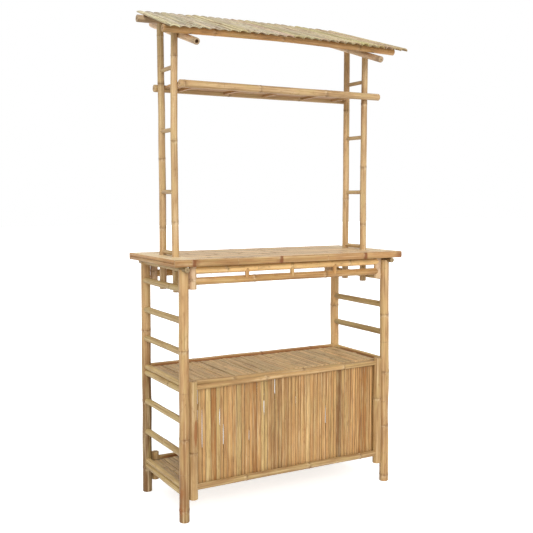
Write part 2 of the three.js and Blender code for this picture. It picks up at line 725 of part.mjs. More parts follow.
function upperDeck() {
  const halfLength = upperX - upperPostRadius - UPPER_RING_BULGE - CLEARANCE;
  const low = upperRailHeight;
  const top = low + UPPER_DECK_THICKNESS;
  const outline = deckOutline(-upperRailY, upperRailY, UPPER_DECK_STRIP_COUNT, low, top);
  let solid = bar('x', outline, -halfLength, halfLength);
  for (const share of UPPER_BATTEN_SHARES) {
    const middle = share * halfLength;
    const section = block(middle - UPPER_BATTEN_WIDTH / 2, middle + UPPER_BATTEN_WIDTH / 2,
      low - UPPER_BATTEN_HEIGHT, low);
    solid = solid.add(bar('y', section, -upperRailY, upperRailY));
  }
  for (const [, depthSign] of DEPTHS) {
    solid = solid.subtract(pole(upperRail(depthSign), CLEARANCE));
  }
  return solid;
}

for (const [depth, depthSign] of DEPTHS) {
  const rail = upperRail(depthSign);
  let solid = pole(rail);
  for (const [side, sideSign] of SIDES) {
    solid = solid.subtract(pole(upperPost(side, depth, sideSign, depthSign), CLEARANCE));
  }
  piece(`upper_shelf_${depth}_rail`, solid, poleTan, rail.start, hut);
}
piece('upper_shelf_deck', upperDeck(), deckBeige, [0, 0, upperRailHeight], hut);

// Roof, drawn level in a group that is turned to the roof's pitch: its Y runs up the slope from
// the rafters' axis above the middle of the posts, and its Z is square to the roof.
const roof = new THREE.Group();
roof.position.set(0, 0, rafterHeight);
roof.rotation.x = ROOF_PITCH;
hut.add(roof);

const rafterX = upperX - upperPostRadius - CLEARANCE - RAFTER_DIAMETER / 2;
const purlinReach = upperX + PURLIN_OVERHANG;
const purlinLift = RAFTER_DIAMETER / 2 + CLEARANCE + PURLIN_DIAMETER / 2;
const roofUnderside = purlinLift + PURLIN_DIAMETER / 2 + CLEARANCE;
const roofLeft = -purlinReach;
const roofRight = purlinReach + ROOF_PAST_PURLIN;

for (const [side, sideSign] of SIDES) {
  const rafter = {
    axis: 'y',
    start: [sideSign * rafterX, -RAFTER_FRONT, 0],
    length: RAFTER_FRONT + RAFTER_REAR,
    diameter: RAFTER_DIAMETER,
    rings: RAFTER_RING_SHARES,
    bulge: UPPER_RING_BULGE,
  };
  piece(`rafter_${side}`, pole(rafter), poleTan, rafter.start, roof);
}

function purlin(distance) {
  return {
    axis: 'x',
    start: [-purlinReach, distance, purlinLift],
    length: 2 * purlinReach,
    diameter: PURLIN_DIAMETER,
    rings: PURLIN_RING_SHARES,
    bulge: UPPER_RING_BULGE,
  };
}

const PURLINS = [['front', purlin(-FRONT_PURLIN_REACH)], ['rear', purlin(REAR_PURLIN_REACH)]];
for (const [name, one] of PURLINS) {
  piece(`purlin_${name}`, pole(one), edgeHoney, one.start, roof);
}

// Split slats side by side, each a low arch that stands on its two edges. The arches get a little
// higher from left to right. They narrow up the slope, as bamboo does towards its tip, so the
// roof's rear edge is shorter than its front edge.
function roofSlats() {
  const pitch = (roofRight - roofLeft) / ROOF_SLAT_COUNT;
  const hollow = pitch / 2 - ROOF_SLAT_WALL;
  const footing = ROOF_SLAT_WALL / 2;
  const upper = [];
  const lower = [];
  for (let i = 0; i < ROOF_SLAT_COUNT; i += 1) {
    const middle = roofLeft + (i + 1 / 2) * pitch;
    const reach = i / (ROOF_SLAT_COUNT - 1);
    const rise = THREE.MathUtils.lerp(ROOF_LEFT_SLAT_RISE, ROOF_RIGHT_SLAT_RISE, reach);
    for (let k = 0; k <= ROOF_ARC_SIDES; k += 1) {
      const angle = Math.PI * (1 - k / ROOF_ARC_SIDES);
      const across = Math.cos(angle);
      const up = Math.sin(angle);
      if (k > 0 || i === 0) {
        upper.push([middle + across * pitch / 2, roofUnderside + footing + up * (rise - footing)]);
      }
      lower.push([middle + across * hollow, roofUnderside + up * (rise - ROOF_SLAT_WALL)]);
    }
  }
  const outline = [...upper, [roofRight, roofUnderside], ...lower.reverse(), [roofLeft, roofUnderside]];
  const geometry = barGeometry('y', outline, -ROOF_FRONT, ROOF_REAR);
  const corners = geometry.attributes.position;
  for (let i = 0; i < corners.count; i += 1) {
    const across = corners.getX(i);
    const reach = (across - roofLeft) / (roofRight - roofLeft);
    const narrowing = THREE.MathUtils.lerp(ROOF_LEFT_NARROWING, -ROOF_RIGHT_NARROWING, reach);
    if (corners.getY(i) > 0) corners.setX(i, across + narrowing);
  }
  return toSolid(geometry);
}

const purlinCutters = PURLINS.map(([, one]) => pole(one, CLEARANCE));
const slats = roofSlats().subtract(purlinCutters[0]).subtract(purlinCutters[1]);
piece('roof_slats', slats, roofStraw, [0, -ROOF_FRONT, roofUnderside], roof);

export default hut;
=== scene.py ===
"""The looks of a bamboo tiki bar: a pole frame with a slatted front, a counter, a high shelf and a roof."""

import math
import random

import bpy
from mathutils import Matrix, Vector, noise
from mathutils.geometry import tessellate_polygon


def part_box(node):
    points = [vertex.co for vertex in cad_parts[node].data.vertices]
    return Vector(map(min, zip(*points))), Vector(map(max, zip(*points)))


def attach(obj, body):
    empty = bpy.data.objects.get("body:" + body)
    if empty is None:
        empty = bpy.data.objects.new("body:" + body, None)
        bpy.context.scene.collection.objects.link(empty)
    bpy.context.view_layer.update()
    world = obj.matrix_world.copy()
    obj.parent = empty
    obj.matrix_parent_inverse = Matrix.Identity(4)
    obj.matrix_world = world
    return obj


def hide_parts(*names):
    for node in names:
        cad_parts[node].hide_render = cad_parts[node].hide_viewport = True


bl_info = {
    "name": "Bamboo tiki bar",
    "version": (1, 0, 0),
    "blender": (4, 5, 0),
    "location": "View3D > Sidebar > Tiki bar",
    "description": "Builds the poles, slats, counter and roof of a bamboo tiki bar, and its stage",
    "category": "Object",
}

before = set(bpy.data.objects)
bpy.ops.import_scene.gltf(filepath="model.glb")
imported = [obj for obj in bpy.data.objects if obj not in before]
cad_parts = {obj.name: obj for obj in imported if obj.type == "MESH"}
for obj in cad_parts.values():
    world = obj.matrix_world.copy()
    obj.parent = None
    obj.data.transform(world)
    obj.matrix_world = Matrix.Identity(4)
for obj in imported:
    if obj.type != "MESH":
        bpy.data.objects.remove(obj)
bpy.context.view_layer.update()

MM = 0.001
SIDES = (("left", -1), ("right", 1))
DEPTHS = (("front", -1), ("rear", 1))
UPWARD, FORWARD = (0, 0, 1), (0, -1, 0)
SKIN, CUT, BORE = 0, 1, 2  # the materials of a piece, in the order of its slots
JOINT, SAWN, HOLLOW = "joint", "sawn", "hollow"  # a pole's end: hidden in a joint, sawn solid or sawn hollow
FAR_FROM_NODE = 1.0
SHARP_EDGE = math.radians(38)
LEG_Y = 0.204
POST_X, POST_Y = 0.469, 0.0715
PEG_END = 0.5  # X of the pegs' outer ends, inside the legs and side rungs


def srgb(red, green, blue):
    """A colour given in screen values from 0 to 255, as the linear colour that a property holds."""
    def linear(value):
        value /= 255
        return value / 12.92 if value <= 0.04045 else ((value + 0.055) / 1.055) ** 2.4
    return tuple(linear(value) for value in (red, green, blue))


def hue(name, description, *screen):
    return bpy.props.FloatVectorProperty(
        name=name, description=description, subtype="COLOR", size=3, min=0, max=1, default=srgb(*screen))


def measure(name, description, millimetres):
    return bpy.props.FloatProperty(
        name=name, description=description, subtype="DISTANCE", unit="LENGTH", min=0,
        default=millimetres * MM)


def amount(name, description, number, **more):
    return bpy.props.FloatProperty(name=name, description=description, default=number, min=0, **more)


def tally(name, description, number):
    return bpy.props.IntProperty(name=name, description=description, default=number, min=2)


class TikiPoleSettings(bpy.types.PropertyGroup):
    """Round bamboo: legs, rungs, rails and posts"""
    node_swelling: measure("Node swelling", "How far a node stands out of a frame pole", 1.2)
    upper_node_swelling: measure("Upper node swelling", "How far a node stands out above the counter", 0.8)
    post_excess: measure("Post excess", "How much stouter than its solid an upper post is", 1.4)
    joint_depth: measure("Joint depth", "How far a rung's end runs into the pole that holds it", 9)
    wall_share: amount("Wall", "Wall as a share of a hollow pole's radius", 0.44, subtype="FACTOR", max=1)
    pith_share: amount("Pith", "Pith of a solid end as a share of its radius", 0.2, subtype="FACTOR", max=1)
    bore_depth: measure("Bore depth", "How deep the hollow of a cut end is seen", 14)
    leg: hue("Legs", "Skin of the four legs", 196, 157, 108)
    rung: hue("Side rungs", "Skin of the rungs between the legs", 187, 157, 102)
    panel: hue("Panel poles", "Skin of the posts and rails round the slatted front", 186, 149, 100)
    apron: hue("Aprons", "Skin of the rails under the counter's edges", 188, 143, 89)
    stub: hue("Apron stubs", "Skin of the short posts beside the legs", 217, 183, 147)
    upper: hue("Upper posts", "Skin of the posts above the counter", 202, 166, 120)
    purlin: hue("Purlins", "Skin of the poles under the roof", 222, 168, 108)
    scar: hue("Node scar", "The line round a node and the stains beside it", 92, 58, 30)
    cut: hue("Cut end", "Fibres of a sawn end", 214, 188, 148)
    bore: hue("Bore", "Inside of a cut pole", 128, 94, 60)


class TikiSlatSettings(bpy.types.PropertyGroup):
    """Split bamboo: the slatted front and the shelves"""
    mat_narrow: measure("Narrowest slat", "Least width of a slat of the front", 10)
    mat_wide: measure("Widest slat", "Largest width of a slat of the front", 20)
    mat_gap: measure("Slat gap", "Usual gap between two slats of the front", 0.3)
    light_gap: measure("Light gap", "Gap between slats where light comes through", 2.0)
    deck_count: tally("Shelf slats", "Slats of a lower shelf", 42)
    deck_gap: measure("Shelf gap", "Gap between two slats of a shelf", 2.0)
    mat_yellow: hue("Yellow slats", "Yellow slats of the front", 205, 171, 112)
    mat_orange: hue("Orange slats", "Orange slats of the front", 195, 149, 94)
    mat_brown: hue("Brown slats", "Brown slats of the front", 167, 115, 61)
    mat_pale: hue("Pale slat", "The palest slat of the front", 217, 180, 124)
    deck: hue("Shelf slats' skin", "Slats of the two lower shelves", 230, 194, 138)
    upper_deck: hue("Upper shelf strips", "Strips and battens of the high shelf", 222, 165, 104)


class TikiCounterSettings(bpy.types.PropertyGroup):
    """The counter"""
    strip_count: tally("Strips", "Strips side by side", 10)
    strip_thickness: measure("Strip thickness", "Thickness of a strip of the top", 15)
    joint: measure("Joint", "Width of the joints between the strips", 1.3)
    bevel: measure("Bevel", "Rounding of the end boards' edges", 2.4)
    board: hue("Board", "Top of the counter and of its end boards", 234, 201, 154)
    end_edge: hue("End edge", "Layered edge of an end board", 184, 132, 72)
    edge: hue("Long edge", "Strips along the front and the rear edge", 184, 139, 90)


class TikiRoofSettings(bpy.types.PropertyGroup):
    """The roof"""
    slat_count: tally("Slats", "Half-round slats side by side", 27)
    slat_wall: measure("Wall", "Wall of a half-round slat", 3)
    low_rise: measure("Rise on the left", "Height of the leftmost slat", 8.6)
    high_rise: measure("Rise on the right", "Height of the rightmost slat", 14.6)
    left_narrowing: measure("Left narrowing", "How far the left side runs inward up the slope", 37)
    right_narrowing: measure("Right narrowing", "How far the right side runs inward up the slope", 75)
    pitch: amount("Pitch", "Slope of the roof", math.radians(17.4), subtype="ANGLE")
    sag: measure("Purlin bow", "How far the front purlin bows up in its middle", 8)
    rear_bow: measure("Rear bow", "How far the roof's rear edge bows up in its middle", 5)
    pale: hue("Pale slats", "Pale skin of the roof's slats", 199, 194, 168)
    tan: hue("Tan slats", "Tanned skin of the roof's slats", 185, 165, 124)
    ends: hue("Slat ends", "Sawn ends and undersides of the roof's slats", 176, 138, 94)


class TikiStageSettings(bpy.types.PropertyGroup):
    """Floor, light and camera"""
    floor: hue("Floor", "Floor and backdrop", 250, 250, 250)
    bounce: hue("Bounce", "Floor as the light that it throws back sees it", 232, 232, 232)
    glow: amount("Glow", "Light that the floor adds of itself", 0.6)
    key: amount("Key", "Strength of the main lamp", 1.95)
    fill: amount("Fill", "Strength of the lamp from the left", 0.45)
    top: amount("Top", "Strength of the lamp above", 0.8)
    sky: amount("Sky", "Strength of the even light all round", 0.48)
    camera_place: bpy.props.FloatVectorProperty(
        name="Camera place", description="Where the camera stands", subtype="TRANSLATION", unit="LENGTH",
        size=3, default=(-1.8116, -3.1941, 1.3179))
    camera_turn: bpy.props.FloatVectorProperty(
        name="Camera turn", description="How the camera is turned", subtype="EULER", size=3,
        default=(math.radians(85.03), 0, math.radians(-29.49)))
    camera_lens: amount("Lens", "Focal length in mm", 55.99)


class Shade:
    """A value, colour or vector on its way through a finish's nodes. Sums on it add Math nodes."""

    def __init__(self, tree, socket=None):
        self.tree = tree
        self.socket = socket

    def node(self, kind, settings=None, inputs=None, output=0):
        """Adds a node of that kind, sets it up, then gives its sockets their values or links."""
        made = self.tree.nodes.new(kind)
        for key, value in (settings or {}).items():
            setattr(made, key, value)
        for key, value in (inputs or {}).items():
            socket = made.inputs[key]
            if isinstance(value, Shade):
                self.tree.links.new(value.socket, socket)
            else:
                socket.default_value = (*value, 1) if socket.type == "RGBA" else value
        return Shade(self.tree, made.outputs[output])

    def sum(self, operation, first, second=0.0, clamp=False):
        settings = {"operation": operation, "use_clamp": clamp}
        return self.node("ShaderNodeMath", settings, {0: first, 1: second})

    def __add__(self, other):
        return self.sum("ADD", self, other)

    def __sub__(self, other):
        return self.sum("SUBTRACT", self, other)

    def __rsub__(self, other):
        return self.sum("SUBTRACT", other, self)

    def __mul__(self, other):
        return self.sum("MULTIPLY", self, other)

    __radd__ = __add__
    __rmul__ = __mul__

    def __abs__(self):
        return self.sum("ABSOLUTE", self)

    def rise(self, low, high):
        """0 below low, 1 above high and smooth between; high may be the lower one."""
        return self.node("ShaderNodeMapRange", {"interpolation_type": "SMOOTHSTEP"},
                         {"Value": self, "From Min": low, "From Max": high})

    def speckle(self, across, along, detail=2.0, roughness=0.5):
        """Noise on a grain vector, with so many spots per metre across the fibres and along them."""
        spots = (across, across, along)
        steps = self.node("ShaderNodeVectorMath", {"operation": "MULTIPLY"}, {0: self, 1: spots})
        return self.node("ShaderNodeTexNoise", None, {
            "Vector": steps, "Scale": 1.0, "Detail": detail, "Roughness": roughness})

    def blend(self, factor, first, second):
        """The first colour where the factor is 0, and the second where it is 1."""
        return self.node("ShaderNodeMix", {"data_type": "RGBA"}, {0: factor, 6: first, 7: second}, output=2)

    def painted(self, name, output):
        """What a piece's points hold under that name."""
        return self.node("ShaderNodeAttribute", {"attribute_name": name}, None, output)


def new_finish(name, roughness=0.5):
    """A new material, the paper to draw its nodes on and its shader."""
    material = bpy.data.materials.new(name)
    material.use_nodes = True
    tree = material.node_tree
    shader = tree.nodes["Principled BSDF"]
    shader.inputs["Roughness"].default_value = roughness
    return material, Shade(tree), shader


def wire(value, shader, socket):
    value.tree.links.new(value.socket, shader.inputs[socket])


def bamboo_finish(name, scar, mottle, fibre=0.1, cracks=0.0, gloss=0.46, specks=0.35, relief=0.25,
                  crack_step=170, stain_and_shadow_colour=(146, 92, 50)):
    """Bamboo with fibres along its grain, cloudy tone, node scars, stained spots, painted shadows where rails
    lie against slats and, on split slats, cracks.
    """
    material, paper, shader = new_finish(name)
    grain = paper.painted("grain", 1)
    knot = paper.painted("knot", 2)
    stain = paper.painted("stain", 2)
    clouds = grain.speckle(34, 7, 3.0, 0.6)
    bands = grain.speckle(210, 4, 2.0)
    fibres = grain.speckle(950, 16, 2.0, 0.6)
    patches = grain.speckle(70, 28, 3.0, 0.65)
    smoke = grain.speckle(90, 60, 3.0, 0.6)
    spots = grain.speckle(150, 70, 2.0, 0.7).rise(0.68, 0.76)
    near = abs(knot)
    halo = near.rise(0.016, 0.001) * smoke.rise(0.38, 0.66)
    line = near.rise(0.0012, 0.0004)
    bloom = knot.rise(-0.02, -0.006) * knot.rise(-0.0008, -0.0025)
    # This mask holds the stained spots and the painted shadows where rails lie against slats, broken up by
    # noise; both take one colour and a rougher finish.
    stain_and_shadow_blot = (stain + (smoke - 0.5) * 0.9).rise(0.1, 1.1) * stain.rise(0.02, 0.2)
    layers = [
        (srgb(196, 176, 116), clouds.rise(0.42, 0.72) * mottle * 1.1),
        (srgb(128, 92, 54), clouds.rise(0.55, 0.25) * mottle * 1.2),
        (srgb(238, 214, 172), bands.rise(0.5, 0.78) * mottle * 1.4),
        (srgb(120, 86, 50), bands.rise(0.5, 0.24) * mottle * 1.6),
        (srgb(142, 98, 54), patches.rise(0.56, 0.74) * mottle * 1.3),
        (srgb(105, 74, 44), fibres.rise(0.55, 0.25) * fibre * 2.2),
        (srgb(250, 230, 192), fibres.rise(0.58, 0.8) * fibre * 1.6),
        (scar, halo * 0.42),
        (srgb(232, 214, 180), bloom * smoke.rise(0.6, 0.35) * 0.3),
        (scar, line * (smoke.rise(0.3, 0.65) * 0.55 + 0.12)),
        (srgb(84, 56, 32), spots * specks),
        (srgb(*stain_and_shadow_colour), stain_and_shadow_blot * 0.8),
    ]
    if cracks:
        crack = abs(grain.speckle(crack_step, 2.2, 1.0) - 0.5).rise(0.022, 0.004)
        layers.insert(7, (srgb(86, 56, 30), crack * cracks))
    colour = paper.painted("tint", 0)
    for over, factor in layers:
        colour = paper.blend(factor, colour, over)
    wire(colour, shader, "Base Color")
    wire((bands * 0.16 + (gloss - 0.08)) + stain_and_shadow_blot * 0.15, shader, "Roughness")
    shader.inputs["Specular IOR Level"].default_value = 0.25
    bump = paper.node("ShaderNodeBump", None, {
        "Strength": relief, "Distance": 0.0006, "Height": fibres * 0.7 + bands * 0.6})
    wire(bump, shader, "Normal")
    return material


def cut_finish(name, colour, dark):
    """Sawn bamboo: pale fibre dots and dark pith."""
    material, paper, shader = new_finish(name, roughness=0.85)
    grain = paper.painted("grain", 1)
    dots = grain.speckle(1500, 1500, 1.0)
    clouds = grain.speckle(160, 160, 2.0)
    base = paper.blend(0.3, paper.painted("tint", 0), colour)
    marks = dots.rise(0.45, 0.75) * 0.2 + clouds.rise(0.45, 0.75) * 0.3
    wire(paper.blend(marks, base, dark), shader, "Base Color")
    return material


def bore_finish(name, colour):
    """The inside of a pole, clouded with a darker tone."""
    material, paper, shader = new_finish(name, roughness=0.9)
    clouds = paper.painted("grain", 1).speckle(120, 60, 3.0)
    wire(paper.blend(clouds.rise(0.3, 0.8) * 0.5, colour, tone(colour, 0.5)), shader, "Base Color")
    return material


BAMBOO_FINISHES = {
    "bamboo_pole": ("bamboo pole", dict(mottle=0.36)),
    "bamboo_rung": ("bamboo rung", dict(mottle=0.34, gloss=0.5)),
    "counter_board": ("counter board", dict(mottle=0.3, fibre=0.12, gloss=0.5, specks=0.3, cracks=0.25)),
    "bamboo_edge": ("bamboo edge", dict(mottle=0.32, cracks=0.25, stain_and_shadow_colour=(118, 62, 30))),
    "bamboo_slat": ("front slat", dict(mottle=0.3, fibre=0.24, cracks=0.6, gloss=0.55, relief=0.5, specks=0.5,
                                       crack_step=190)),
    "shelf_slat": ("shelf slat", dict(mottle=0.36, fibre=0.2, cracks=0.45, gloss=0.55)),
    "roof_slat": ("roof slat", dict(mottle=0.6, fibre=0.24, cracks=0.85, gloss=0.55, specks=0.9,
                                    crack_step=120)),
}
FINISHES = {}


def finishes():
    """All finishes, made once from the colours that the settings hold."""
    if not FINISHES:
        poles, roof = bpy.context.scene.tiki_poles, bpy.context.scene.tiki_roof
        scar = tuple(poles.scar)
        for key, (name, looks) in BAMBOO_FINISHES.items():
            FINISHES[key] = bamboo_finish(name, scar, **looks)
        FINISHES["cut"] = cut_finish("sawn end", tuple(poles.cut), scar)
        FINISHES["bore"] = bore_finish("bore", tuple(poles.bore))
        FINISHES["roof_cut"] = cut_finish("sawn roof slat", tuple(roof.ends), scar)
    return FINISHES


def tone(colour, lightness, warmth=0.0):
    """A colour made lighter or darker, and warmer or greener."""
    red, green, blue = colour
    return (red * lightness * (1 + warmth), green * lightness, blue * lightness * (1 - warmth))


def tones(colour, *levels, warmth=0.0):
    """The colour at each level of lightness, from one end of a stick to the other."""
    return [tone(colour, level, warmth) for level in (levels if len(levels) > 1 else levels * 2)]


class Form:
    """Points and faces of one piece, with the marks that its finish reads at each point."""

    def __init__(self, seed):
        self.chance = random.Random(seed)
        self.points, self.faces, self.finish = [], [], []
        self.grain, self.knot, self.tint, self.stain = [], [], [], []

    def stick(self, start, end, up, tints, rings=(), stains=()):
        """From here on the points belong to a stick that runs from start to end, with its upper side up.

        Rings are the places of its nodes. Marks are stained spots and painted shadows where the stick lies
        against slats; each is a place along the stick, an angle round it, and how far it reaches each way."""
        self.origin = Vector(start)
        run = Vector(end) - self.origin
        self.length = run.length
        self.along = run.normalized()
        out = Vector(up)
        self.up = (out - self.along * out.dot(self.along)).normalized()
        self.across = self.up.cross(self.along)
        self.tints = tints
        self.rings = rings
        self.stains = stains
        self.shift = Vector([self.chance.uniform(-9, 9) for _ in range(3)])
        cuts = sorted([0.0, *rings, self.length])
        self.spans = list(zip(cuts, cuts[1:], [self.chance.uniform(0.93, 1.06) for _ in cuts[1:]]))

    def knot_at(self, along):
        return min((along - ring for ring in self.rings), key=abs, default=FAR_FROM_NODE)

    def add(self, across, up, along, shade=1.0):
        """One point, given from the stick's start in its own directions. A shade below 1 darkens it, mostly
        as painted shade at rims and in hollows.
        """
        share = min(max(along / self.length, 0), 1) * (len(self.tints) - 1)
        begin = min(int(share), len(self.tints) - 2)
        share -= begin
        first, last = self.tints[begin:begin + 2]
        level = shade * next((level for low, high, level in self.spans if low <= along <= high), 1.0)
        self.points.append(self.origin + self.across * across + self.up * up + self.along * along)
        self.grain.append(Vector((across, up, along)) + self.shift)
        self.knot.append(self.knot_at(along))
        self.tint.append([(a + (b - a) * share) * level for a, b in zip(first, last)])
        angle = math.atan2(up, across)
        self.stain.append(sum(
            math.exp(-((along - spot) / reach) ** 2 - (math.remainder(angle - turn, math.tau) / width) ** 2)
            for spot, turn, reach, width in self.stains))
        return len(self.points) - 1

    def face(self, corners, finish):
        self.faces.append(corners)
        self.finish.append(finish)

    def skin(self, low, high, finish=SKIN, upper=None):
        """Faces between two loops, the second further along the stick. They face outward.

        Where upper is given, only that many of them wear the skin, and the rest are cut."""
        count = len(low)
        for i in range(count):
            j = (i + 1) % count
            self.face((low[i], low[j], high[j], high[i]), finish if upper is None or i < upper else CUT)

    def loop(self, section, along, shades=None):
        return [self.add(across, up, along, shade) for (across, up), shade in
                zip(section, shades or [1.0] * len(section))]

    def loft(self, rows, upper=None):
        """Skins loops of those sections, places and shades, and gives back the first and the last loop."""
        loops = []
        for row in rows:
            loops.append(self.loop(*row))
            if len(loops) > 1:
                self.skin(loops[-2], loops[-1], upper=upper)
        return loops[0], loops[-1]

    def close(self, loop, along, finish, far=True):
        """Closes a loop with a fan round its middle."""
        middle = sum((self.points[i] for i in loop), Vector()) / len(loop) - self.origin
        hub = self.add(middle.dot(self.across), middle.dot(self.up), along)
        for i in range(len(loop)):
            pair = (loop[i], loop[(i + 1) % len(loop)])
            self.face((*pair, hub) if far else (pair[1], pair[0], hub), finish)

    def built(self, node, slot, skin=None, cut="cut"):
        """Makes the object, which rides on the frame and stands for its CAD node."""
        mesh = bpy.data.meshes.new(f"bamboo_{node}")
        mesh.from_pydata([tuple(p) for p in self.points], [], self.faces)
        for material in (skin or slot, cut, "bore"):
            mesh.materials.append(finishes()[material])
        mesh.polygons.foreach_set("material_index", self.finish)
        for key, kind, field, values in (
            ("grain", "FLOAT_VECTOR", "vector", [c for v in self.grain for c in v]),
            ("tint", "FLOAT_COLOR", "color", [c for v in self.tint for c in (*v, 1.0)]),
            ("knot", "FLOAT", "value", self.knot),
            ("stain", "FLOAT", "value", self.stain),
        ):
            mesh.attributes.new(key, kind, "POINT").data.foreach_set(field, values)
        mesh.shade_smooth()
        mesh.set_sharp_from_angle(angle=SHARP_EDGE)
        mesh.update()
        made = bpy.data.objects.new(mesh.name, mesh)
        bpy.context.scene.collection.objects.link(made)
        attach(made, "root")
        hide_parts(node)


NODE_STEPS = [step * MM for step in
              (-16, -11, -7.5, -5, -3.2, -2, -1.2, -0.7, -0.3, 0.1, 0.6, 1.2, 2, 3, 4.5, 7, 11, 16)]
STRIP_NODE_STEPS = [step for step in NODE_STEPS if abs(step) < 8 * MM]
# The wall near a node: a soft bulge, the ridge above it, the sheath's edge and a fine groove. Each has its
# share of the swelling, its place along the pole and its spread.
NODE_WAVES = ((0.5, 1 * MM, 7.5 * MM), (0.5, 2.4 * MM, 1.6 * MM), (0.3, -1.2 * MM, 0.6 * MM),
              (-0.55, 0, 0.6 * MM))


def node_profile(distance):
    """How far the wall stands out at that distance from a node, as a share of the swelling."""
    return sum(size * math.exp(-((distance - place) / spread) ** 2) for size, place, spread in NODE_WAVES)


def stations(length, rings, step, steps=NODE_STEPS):
    """Places along a pole or strip, close together at its nodes."""
    count = max(2, round(length / step))
    fine = [ring + near for ring in rings for near in steps if MM < ring + near < length - MM]
    places = [length * i / count for i in range(count + 1)]
    return sorted([place for place in places if all(abs(place - near) > 3 * MM for near in fine)] + fine)


def culm(form, start, end, radius, tints, rings=(), swelling=1.2 * MM, ends=(JOINT, JOINT), bow=(0, 0, 0),
         up=UPWARD, sides=24, taper=0.02, stains=(), wobble=0.8 * MM, step=0.03):
    """A bamboo pole, a little tapered, oval and uneven, with nodes and, at an open end, its sawn face."""
    poles = bpy.context.scene.tiki_poles
    form.stick(start, end, up, tints, rings, stains)
    bow = Vector(bow)
    phase = form.chance.uniform(0, math.tau)
    key = form.chance.uniform(0, 99)
    wide = form.chance.uniform(0.006, 0.016)
    turn = [math.tau * i / sides for i in range(sides)]

    def section(along, size):
        share = along / form.length
        lift = bow * math.sin(math.pi * min(max(share, 0), 1))
        drift = wobble * math.sin(math.pi * share) * 2
        across = lift.dot(form.across) + drift * noise.noise((key, along * 6, 0))
        high = lift.dot(form.up) + drift * noise.noise((key, 0, along * 6))
        points = []
        for angle in turn:
            right, rise = math.cos(angle), math.sin(angle)
            dent = 0.012 * noise.noise((right * 1.2 + key, rise * 1.2, along * 9))
            reach = size * (1 + wide * math.cos(2 * angle - phase) + dent)
            points.append((across + reach * right, high + reach * rise))
        return points

    def outer(along):
        between = swelling * node_profile(form.knot_at(along)) if rings else 0.0
        return radius * (1 + taper * (0.5 - along / form.length)) + between

    edge = min(1.3 * MM, radius * 0.12)
    last = form.length
    body = [p for p in stations(last, rings, step)[1:-1] if edge * 2 < p < last - edge * 2]
    profile = [(p, outer(p)) for p in (edge, *body, last - edge)]
    profile = [(0.0, outer(0) - edge), *profile, (last, outer(last) - edge)]
    loops = form.loft((section(along, size), along) for along, size in profile)
    for loop, kind, along, inward in zip(loops, ends, (0.0, last), (1, -1)):
        far = inward < 0
        if kind == JOINT:
            form.close(loop, along, CUT, far)
            continue
        hollow = kind == HOLLOW
        hole = radius * (1 - poles.wall_share if hollow else poles.pith_share)
        rim = form.loop(section(along, hole), along)
        bottom = along + inward * (min(poles.bore_depth, last * 0.4) if hollow else 1.5 * MM)
        well = form.loop(section(bottom, hole * 0.97), bottom)
        form.skin(*((loop, rim) if far else (rim, loop)), CUT)
        form.skin(*((rim, well) if far else (well, rim)), BORE)
        form.close(well, bottom, BORE, far)


def strip(form, start, end, up, width, thickness, crown, tints, rings=(), swelling=0.4 * MM, edge=0.5 * MM,
          waver=0.0, step=0.06, stains=(), rim=(0.88, 0.8), slit=None):
    """A split strip that lies between start and end on its flat side, with its crowned side up.

    Its rims are painted darker, as shade in the joints between neighbouring strips, from a share of its half
    width outward. A slit is a place, a reach and a depth along one side, where a part of the strip is
    missing."""
    form.stick(start, end, up, tints, rings, stains)
    key = form.chance.uniform(0, 99)
    inner, rim_shade = rim
    curve = (-1, -inner, -0.45, 0, 0.45, inner, 1)
    # The rim points take painted shade, darkest where the strip meets its neighbours.
    shades = [rim_shade] * 5 + [1.0] * 5 + [rim_shade] * 3
    shoulder = thickness - crown

    def section(along):
        left = -width / 2 + waver * noise.noise((key, along * 5, 0))
        right = width / 2 + waver * noise.noise((key, along * 5, 7))
        if slit:
            at, reach, depth = slit
            left += depth * max(0.0, 1 - ((along - at) / reach) ** 4)
        middle, half = (left + right) / 2, (right - left) / 2
        bump = swelling * node_profile(form.knot_at(along)) if rings else 0.0
        top = [(middle + share * (half - edge), shoulder + crown * (1 - share * share) + bump)
               for share in curve]
        return [(left + edge, 0), (right - edge, 0), (right, edge), (right, shoulder - edge),
                *reversed(top), (left, shoulder - edge), (left, edge)]

    first, last = form.loft((section(along), along, shades)
                            for along in stations(form.length, rings, step, STRIP_NODE_STEPS))
    form.close(first, 0.0, CUT, False)
    form.close(last, form.length, CUT, True)


def ring_stains(rings, reach, width):
    """A stained spot on the crown of a strip at each of its nodes."""
    return [(ring, math.pi / 2, reach, width) for ring in rings]


def contact_stains(length, degrees):
    """A row of painted shadows along the side of a rail that lies against slats."""
    spacing = 0.07
    return [(spacing * i, math.radians(degrees), 0.05, 0.45) for i in range(1, int(length / spacing))] * 2


def pole(form, node, axis, tints, ring_shares=(), swelling=0.0, longer=0.0, start_by=(0, 0, 0),
         end_by=(0, 0, 0), full=False, shadow_side=None, slot="bamboo_pole", **more):
    """A straight pole in place of its solid, which its rings fill, or the pole itself where it is full.

    Longer runs both ends into their joints, and each end can be moved. Shadow side is the angle of the side
    where the slats' painted shadows go."""
    low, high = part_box(node)
    lie = "xyz".index(axis)
    start = (low + high) / 2
    end = start.copy()
    start[lie], end[lie] = low[lie] - longer, high[lie] + longer
    radius = max(high[i] - low[i] for i in range(3) if i != lie) / 2
    if ring_shares and not full:
        radius -= swelling
    start += Vector(start_by)
    end += Vector(end_by)
    if axis == "z":
        more["up"] = FORWARD
        # The foot of a leaning pole is lifted until its lowest point is on the floor.
        start.z += abs(end_by[0] - start_by[0]) * radius / (end.z - start.z)
    length = (end - start).length
    if shadow_side is not None:
        more["stains"] = contact_stains(length, shadow_side)
    culm(form, start, end, radius, tints, [length * share for share in ring_shares], swelling, **more)
    form.built(node, slot)


class BuildOperator:
    """What the operators share."""
    bl_options = {"REGISTER"}

    def execute(self, context):
        self.build(context.scene)
        return {"FINISHED"}
